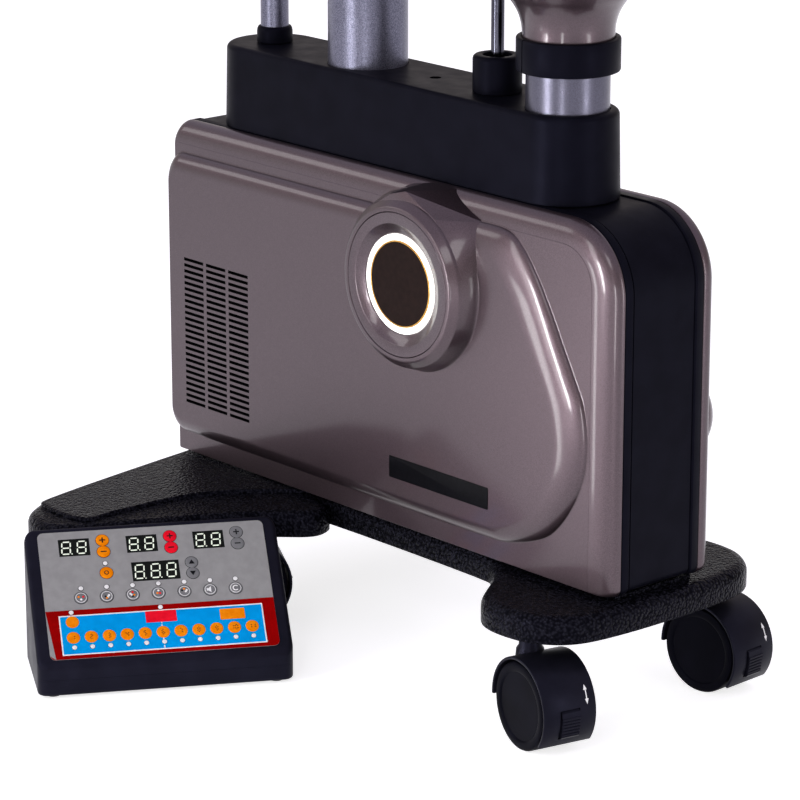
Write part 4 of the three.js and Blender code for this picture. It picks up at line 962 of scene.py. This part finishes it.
# Keypad: places on the sheet, and heights above the slope of the console
keys = {
    "sheetTop": 0.6, "redTop": 0.68, "whiteTop": 0.76, "blueTop": 0.84, "patchTop": 0.94, "keyTop": 1.25,
    "markTop": 1.37, "keyRadius": 5.7, "lampRadius": 2.1, "rim": 0.4,
    "windows": [(17.5, 100.5, 27, 17), (76.5, 100.3, 27, 17), (135, 100, 27, 17.5), (78.5, 71.6, 41.5, 19)],
    "digits": [2, 2, 2, 3],
    "pairs": [(56, "keyOrange"), (115.1, "keyRed"), (173.6, "keyButtonGrey")], "pairY": (114.4, 103),
    "modeKey": (56.4, 81.8), "arrowX": 131.1, "arrows": [(87, 1), (76.2, -1)],
    "icons": [31.9, 54.2, 76.7, 99.1, 121.6, 144.1, 166.4], "iconY": 58.7,
    "dots": [(-2, 0.8), (2, 0.8), (0, -1.8), (-1.1, -0.3), (1.2, -0.5), (0, 2.2)],
    "dotTones": ["keyOrange", "keyRed", "keyWhite", "keyOrange", "keyMark", "keyWhite"],
    "numbers": 11, "numberX": 21.5, "numberPitch": 15.46, "numberY": 20.3, "numberHigh": 4.2,
}
segments = ["abcdef", "bc", "abged", "abgcd", "fgbc", "afgcd", "afgedc", "abc", "abcdefg", "abcdfg"]


def discShape(x, y, radius, low, high, steps=32):
    crown = (high - low) * 0.35
    profile = [(0, low), (radius, low), (radius, high - crown), (radius * 0.93, high - crown * 0.3),
               (radius * 0.7, high), (0, high)]
    return moved(latheShape(profile, steps), x, y)


def digitShape(value, x, y, wide, high, stroke, low, top, lean=0.0):
    g, h = stroke * 0.55, stroke / 2
    spans = {"a": (0, high, wide, high), "d": (0, 0, wide, 0), "g": (0, high / 2, wide, high / 2),
             "f": (0, high / 2, 0, high), "e": (0, 0, 0, high / 2), "b": (wide, high / 2, wide, high),
             "c": (wide, 0, wide, high / 2)}
    shapes = []
    for key in segments[value]:
        x0, y0, x1, y1 = spans[key]
        if y0 == y1:
            loop = [(x0 + g, y0), (x0 + g + h, y0 - h), (x1 - g - h, y0 - h), (x1 - g, y0),
                    (x1 - g - h, y0 + h), (x0 + g + h, y0 + h)]
        else:
            loop = [(x0, y0 + g), (x0 + h, y0 + g + h), (x0 + h, y1 - g - h), (x0, y1 - g),
                    (x0 - h, y1 - g - h), (x0 - h, y0 + g + h)]
        shapes.append(flatPlate([(x + a + lean * b, y + b) for a, b in loop], low, top))
    return joinShapes(shapes)


def numberShape(value, x, y, high, low, top):
    text, wide, space = str(value), high * 0.5, high * 0.35
    left = x - (len(text) * wide + (len(text) - 1) * space) / 2
    return joinShapes([digitShape(int(letter), left + k * (wide + space), y - high / 2, wide, high,
                                  high * 0.2, low, top) for k, letter in enumerate(text)])


def makeKeys():
    top, mark, blue, patch = pick(keys, "keyTop", "markTop", "blueTop", "patchTop")
    radius = keys["keyRadius"]
    wide, long = pick(console, "keysWide", "keysLong")
    sheet = flatPlate(roundedLoop(rectLoop(0, wide, 0, long), 5, 5), -0.3, keys["sheetTop"])
    parts = []

    def add(shape, finish):
        parts.append((shape, finish))

    def printed(loop, height, finish="keyMark"):
        add(flatPlate(loop, 0, height), finish)

    def roundKey(x, y, r, finish):
        add(discShape(x, y, r + keys["rim"], 0.1, blue + 0.15), "keyMark")
        add(discShape(x, y, r, 0.2, top), finish)

    def bar(x, y, across, along, height):
        printed(rectLoop(x - across, x + across, y - along, y + along), height)

    def lamp(x, y):
        add(discShape(x, y, keys["lampRadius"] + keys["rim"], 0.1, blue + 0.12, 20), "keyMark")
        add(discShape(x, y, keys["lampRadius"], 0.3, top - 0.1, 20), "keyWhite")

    red = roundedLoop(rectLoop(0.05, wide - 0.05, 0.05, 47.3), [4.9, 4.9, 0.2, 0.2], 5)
    printed([(4.9, 0.05)] + red[1:], keys["redTop"], "keyDarkRed")
    printed(rectLoop(10.8, 187.3, 3.5, 42.1), keys["whiteTop"], "keyWhite")
    printed(rectLoop(11.9, 186.2, 4.6, 41), blue, "keyBlue")
    printed(rectLoop(85.3, 112, 30.2, 41.2), patch, "keyRed")
    printed(roundedLoop(rectLoop(149.6, 171.2, 28.4, 38.8), 0.8, 5), patch, "keyOrange")
    for k in range(9):
        y = 4.9 + k * 4
        printed(rectLoop(98.1, 98.9, y, y + 2.6), blue + 0.06, "keyWhite")

    for x, finish in keys["pairs"]:
        for y in keys["pairY"]:
            roundKey(x, y, radius, finish)
        for y in keys["pairY"]:
            bar(x, y, 2.6, 0.55, mark)
            if y == keys["pairY"][0]:
                bar(x, y, 0.55, 2.6, mark + 0.01)
    x, y = keys["modeKey"]
    lamp(x - 0.2, y + 9.5)
    roundKey(x, y, radius, "keyOrange")
    add(moved(latheRing(rectLoop(1.4, 2.1, 0.5, mark), 24), x, y), "keyMark")
    x = keys["arrowX"]
    for y, way in keys["arrows"]:
        roundKey(x, y, radius - 0.2, "keyButtonGrey")
        printed([(x - 2.6, y - 1.8 * way), (x + 2.6, y - 1.8 * way), (x, y + 2.6 * way)][::way], mark)

    y = keys["iconY"]
    for k, x in enumerate(keys["icons"]):
        lamp(x + 0.8, y + 9.3)
        roundKey(x, y, radius, "keyButtonGrey")
        rim = latheRing([(4.3, 0.5), (4.8, 0.5), (4.8, top + 0.02), (4.3, top + 0.06)], 32)
        add(moved(rim, x, y), "keyWhite")
        if k < 5:
            for j in range(3 + k % 3):
                dx, dy = keys["dots"][(j + k) % 6]
                add(discShape(x + dx, y + dy, 1.05, 0.5, mark, 14), keys["dotTones"][(j + 2 * k) % 6])
        elif k == 5:
            printed([(x - 3, y - 1.2), (x - 1.4, y - 1.2), (x + 0.8, y - 2.9), (x + 0.8, y + 2.9),
                     (x - 1.4, y + 1.2), (x - 3, y + 1.2)], mark, "keyWhite")
        else:
            swirl = latheShape([(1.8, 0.5), (2.7, 0.5), (2.7, mark), (1.8, mark), (1.8, 0.5)], 28, 40, 280)
            add(moved(swirl, x, y), "keyWhite")
    lamp(22.1, 44.9)
    lamp(99.1, 44.7)
    roundKey(22.1, 35.5, radius, "keyOrange")
    for k in range(keys["numbers"]):
        x, y = keys["numberX"] + keys["numberPitch"] * k, keys["numberY"]
        roundKey(x, y, radius, "keyOrange")
        add(numberShape(k + 1, x, y, keys["numberHigh"], 0.4, mark), "keyMark")
        lamp(x + 0.1, y - 9.5)

    piece = addPiece("keySheet", (onPanel(sheet), "keyGrey"), hides="keypad")
    openings = [boxShape(x, x + w, y, y + h, -3, 3) for x, y, w, h in keys["windows"]]
    carve(piece, onPanel(joinShapes(openings)), "keyMark")
    addPiece("keyPrint", [(onPanel(shape), finish) for shape, finish in parts], slot="keypad")


def makeDigits():
    glass, lit = [], []
    for (x, y, w, h), count in zip(keys["windows"], keys["digits"]):
        glass.append(flatPlate(rectLoop(x + 0.2, x + w - 0.2, y + 0.2, y + h - 0.2), -0.28, 0.25))
        pitch = w / count
        wide, high = pitch * 0.54, h * 0.7
        low = y + (h - high) / 2
        for k in range(count):
            left = x + pitch * (k + 0.5) - wide / 2 - 0.7
            lit.append(digitShape(8, left, low, wide, high, 1.15, 0.25, 0.36, 0.08))
            if k < count - 1:
                lit.append(discShape(left + wide + 1.5, low - 0.1, 0.6, 0.25, 0.36, 14))
    parts = [(onPanel(joinShapes(glass)), "digitBlock"), (onPanel(joinShapes(lit)), "digitLit")]
    addPiece("digitGlass", parts, slot="display_module")


print("making base and body")
for make in (makeBase, makeBand, makeNearCover, makeEmblem, makeLabel, makeFarCover, makeDeck, makeTubes,
             makeRod, makeClampRing):
    make()
print("making head and hopper")
makeNeck()
makeHead()
makeHopper()
print("making casters")
for name, (x, y, turn) in caster["spots"].items():
    makeCaster(name, x, y, turn)
print("making console")
makeConsole()
makeKeys()
makeDigits()

# Inner pieces keep their solids
insideFinish = {
    "feed_wheel": "chutePlastic", "feed_drum": "chutePlastic", "ball_chute": "chutePlastic",
    "lift_elbow": "chutePlastic", "feed_motor": "motorSteel", "upper_throw_motor": "motorSteel",
    "lower_throw_motor": "motorSteel", "upper_throw_wheel": "softRubber", "lower_throw_wheel": "softRubber",
    "power_supply": "zincPlate", "control_board": "circuitGreen", "fan_housing": "satinBlack",
    "fan_rotor": "satinBlack", "display_module": "digitBlock",
}
for nodeName, finishName in insideFinish.items():
    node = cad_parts[nodeName]
    for holder in node.material_slots:
        holder.material = finishes[finishName]
    softenEdges(node, 0.4, 2)

# Pale floor and plain studio light; the floor and the world show white to the camera and in gloss
room = {"floorColour": "e8e8ea", "floorLift": 0.72, "floorHalf": 6, "skyFill": 0.75, "skyWhite": 1.0,
        # sky colour at each height
        "sky": [(0.04, "ffffff"), (0.12, "cfc4c2"), (0.36, "cfc4c2"), (0.6, "e6e0f2")]}


def whiteWhereSeen(nodes, links, low, high):
    path = nodes.new("ShaderNodeLightPath")
    seen = path.outputs["Is Camera Ray"]
    for ray in ("Is Glossy Ray", "Is Transmission Ray"):
        either = nodes.new("ShaderNodeMath")
        either.operation = "MAXIMUM"
        links.new(seen, either.inputs[0])
        links.new(path.outputs[ray], either.inputs[1])
        seen = either.outputs[0]
    mix = nodes.new("ShaderNodeMix")
    mix.data_type = "FLOAT"
    links.new(seen, mix.inputs["Factor"])
    setInput(mix, "A", low)
    setInput(mix, "B", high)
    return mix.outputs["Result"]


floorMesh = bpy.data.meshes.new("floor")
size = room["floorHalf"]
floorMesh.from_pydata(lifted(rectLoop(-size, size, -size, size), 0), [], [(0, 1, 2, 3)])
floor = addObject("floor", floorMesh)
floorFinish = bpy.data.materials.new("paleFloor")
floorFinish.use_nodes = True
nodes, links = floorFinish.node_tree.nodes, floorFinish.node_tree.links
shader = nodes["Principled BSDF"]
setInput(shader, "Base Color", rgb(room["floorColour"]))
setInput(shader, "Roughness", 0.9)
setInput(shader, "Specular IOR Level", 0.1)
setInput(shader, "Emission Color", (1, 1, 1, 1))
links.new(whiteWhereSeen(nodes, links, 0, room["floorLift"]), shader.inputs["Emission Strength"])
floorMesh.materials.append(floorFinish)

world = bpy.data.worlds.new("studio")
world.use_nodes = True
bpy.context.scene.world = world
nodes, links = world.node_tree.nodes, world.node_tree.links
back = nodes["Background"]
where = nodes.new("ShaderNodeTexCoord")
split = nodes.new("ShaderNodeSeparateXYZ")
links.new(where.outputs["Generated"], split.inputs["Vector"])
ceiling = nodes.new("ShaderNodeValToRGB")
for step in room["sky"][1:-1]:
    ceiling.color_ramp.elements.new(step[0])
for stop, (height, tone) in zip(ceiling.color_ramp.elements, room["sky"]):
    stop.position = height
    stop.color = rgb(tone)
links.new(split.outputs["Z"], ceiling.inputs["Fac"])
links.new(ceiling.outputs["Color"], back.inputs["Color"])
links.new(whiteWhereSeen(nodes, links, room["skyFill"], room["skyWhite"]), back.inputs["Strength"])

# The strips stand low and near, where the upright walls mirror them
lamps = {
    "lowStrip": {"place": (-0.113, -0.526, 0.15), "aim": (0.262, -0.058, 0.15), "size": (0.07, 0.3),
                 "power": 0.13, "spread": 70},
    "frontStrip": {"place": (-0.026, -1.137, 0.31), "aim": (0.24, -0.07, 0.31), "size": (0.08, 0.36),
                   "power": 0.45, "spread": 55},
    "sideBox": {"place": (-1.35, -1.2, 1.05), "aim": (0, 0, 0.35), "size": (1, 0.4), "power": 3.8},
    "frontBox": {"place": (-0.2, -1.42, 0.56), "aim": (0.1, 0.04, 0.56), "size": (0.26, 1.05), "power": 4.8},
    "rightStrip": {"place": (1.65, 0.21, 0.42), "aim": (0.16, 0.04, 0.42), "size": (0.26, 0.8), "power": 4.5},
    "nearStrip": {"place": (0.75, -0.95, 0.2), "aim": (0.25, -0.03, 0.25), "size": (0.1, 0.36),
                  "power": 0.4, "spread": 90},
    "keyBox": {"place": (1.5, -2.4, 1.9), "aim": (0, 0, 0.3), "size": (0.8, 0.8), "power": 9},
}
for lampName, lamp in lamps.items():
    data = bpy.data.lights.new(lampName, "AREA")
    data.shape = "RECTANGLE"
    data.size, data.size_y = lamp["size"]
    data.energy = lamp["power"]
    data.spread = math.radians(lamp.get("spread", 180))
    holder = addObject(lampName, data)
    holder.location = lamp["place"]
    way = Vector(lamp["aim"]) - Vector(lamp["place"])
    holder.rotation_euler = way.to_track_quat("-Z", "Y").to_euler()
    holder.visible_camera = False

bpy.context.scene.view_settings.view_transform = "Standard"
print("lights and camera set")
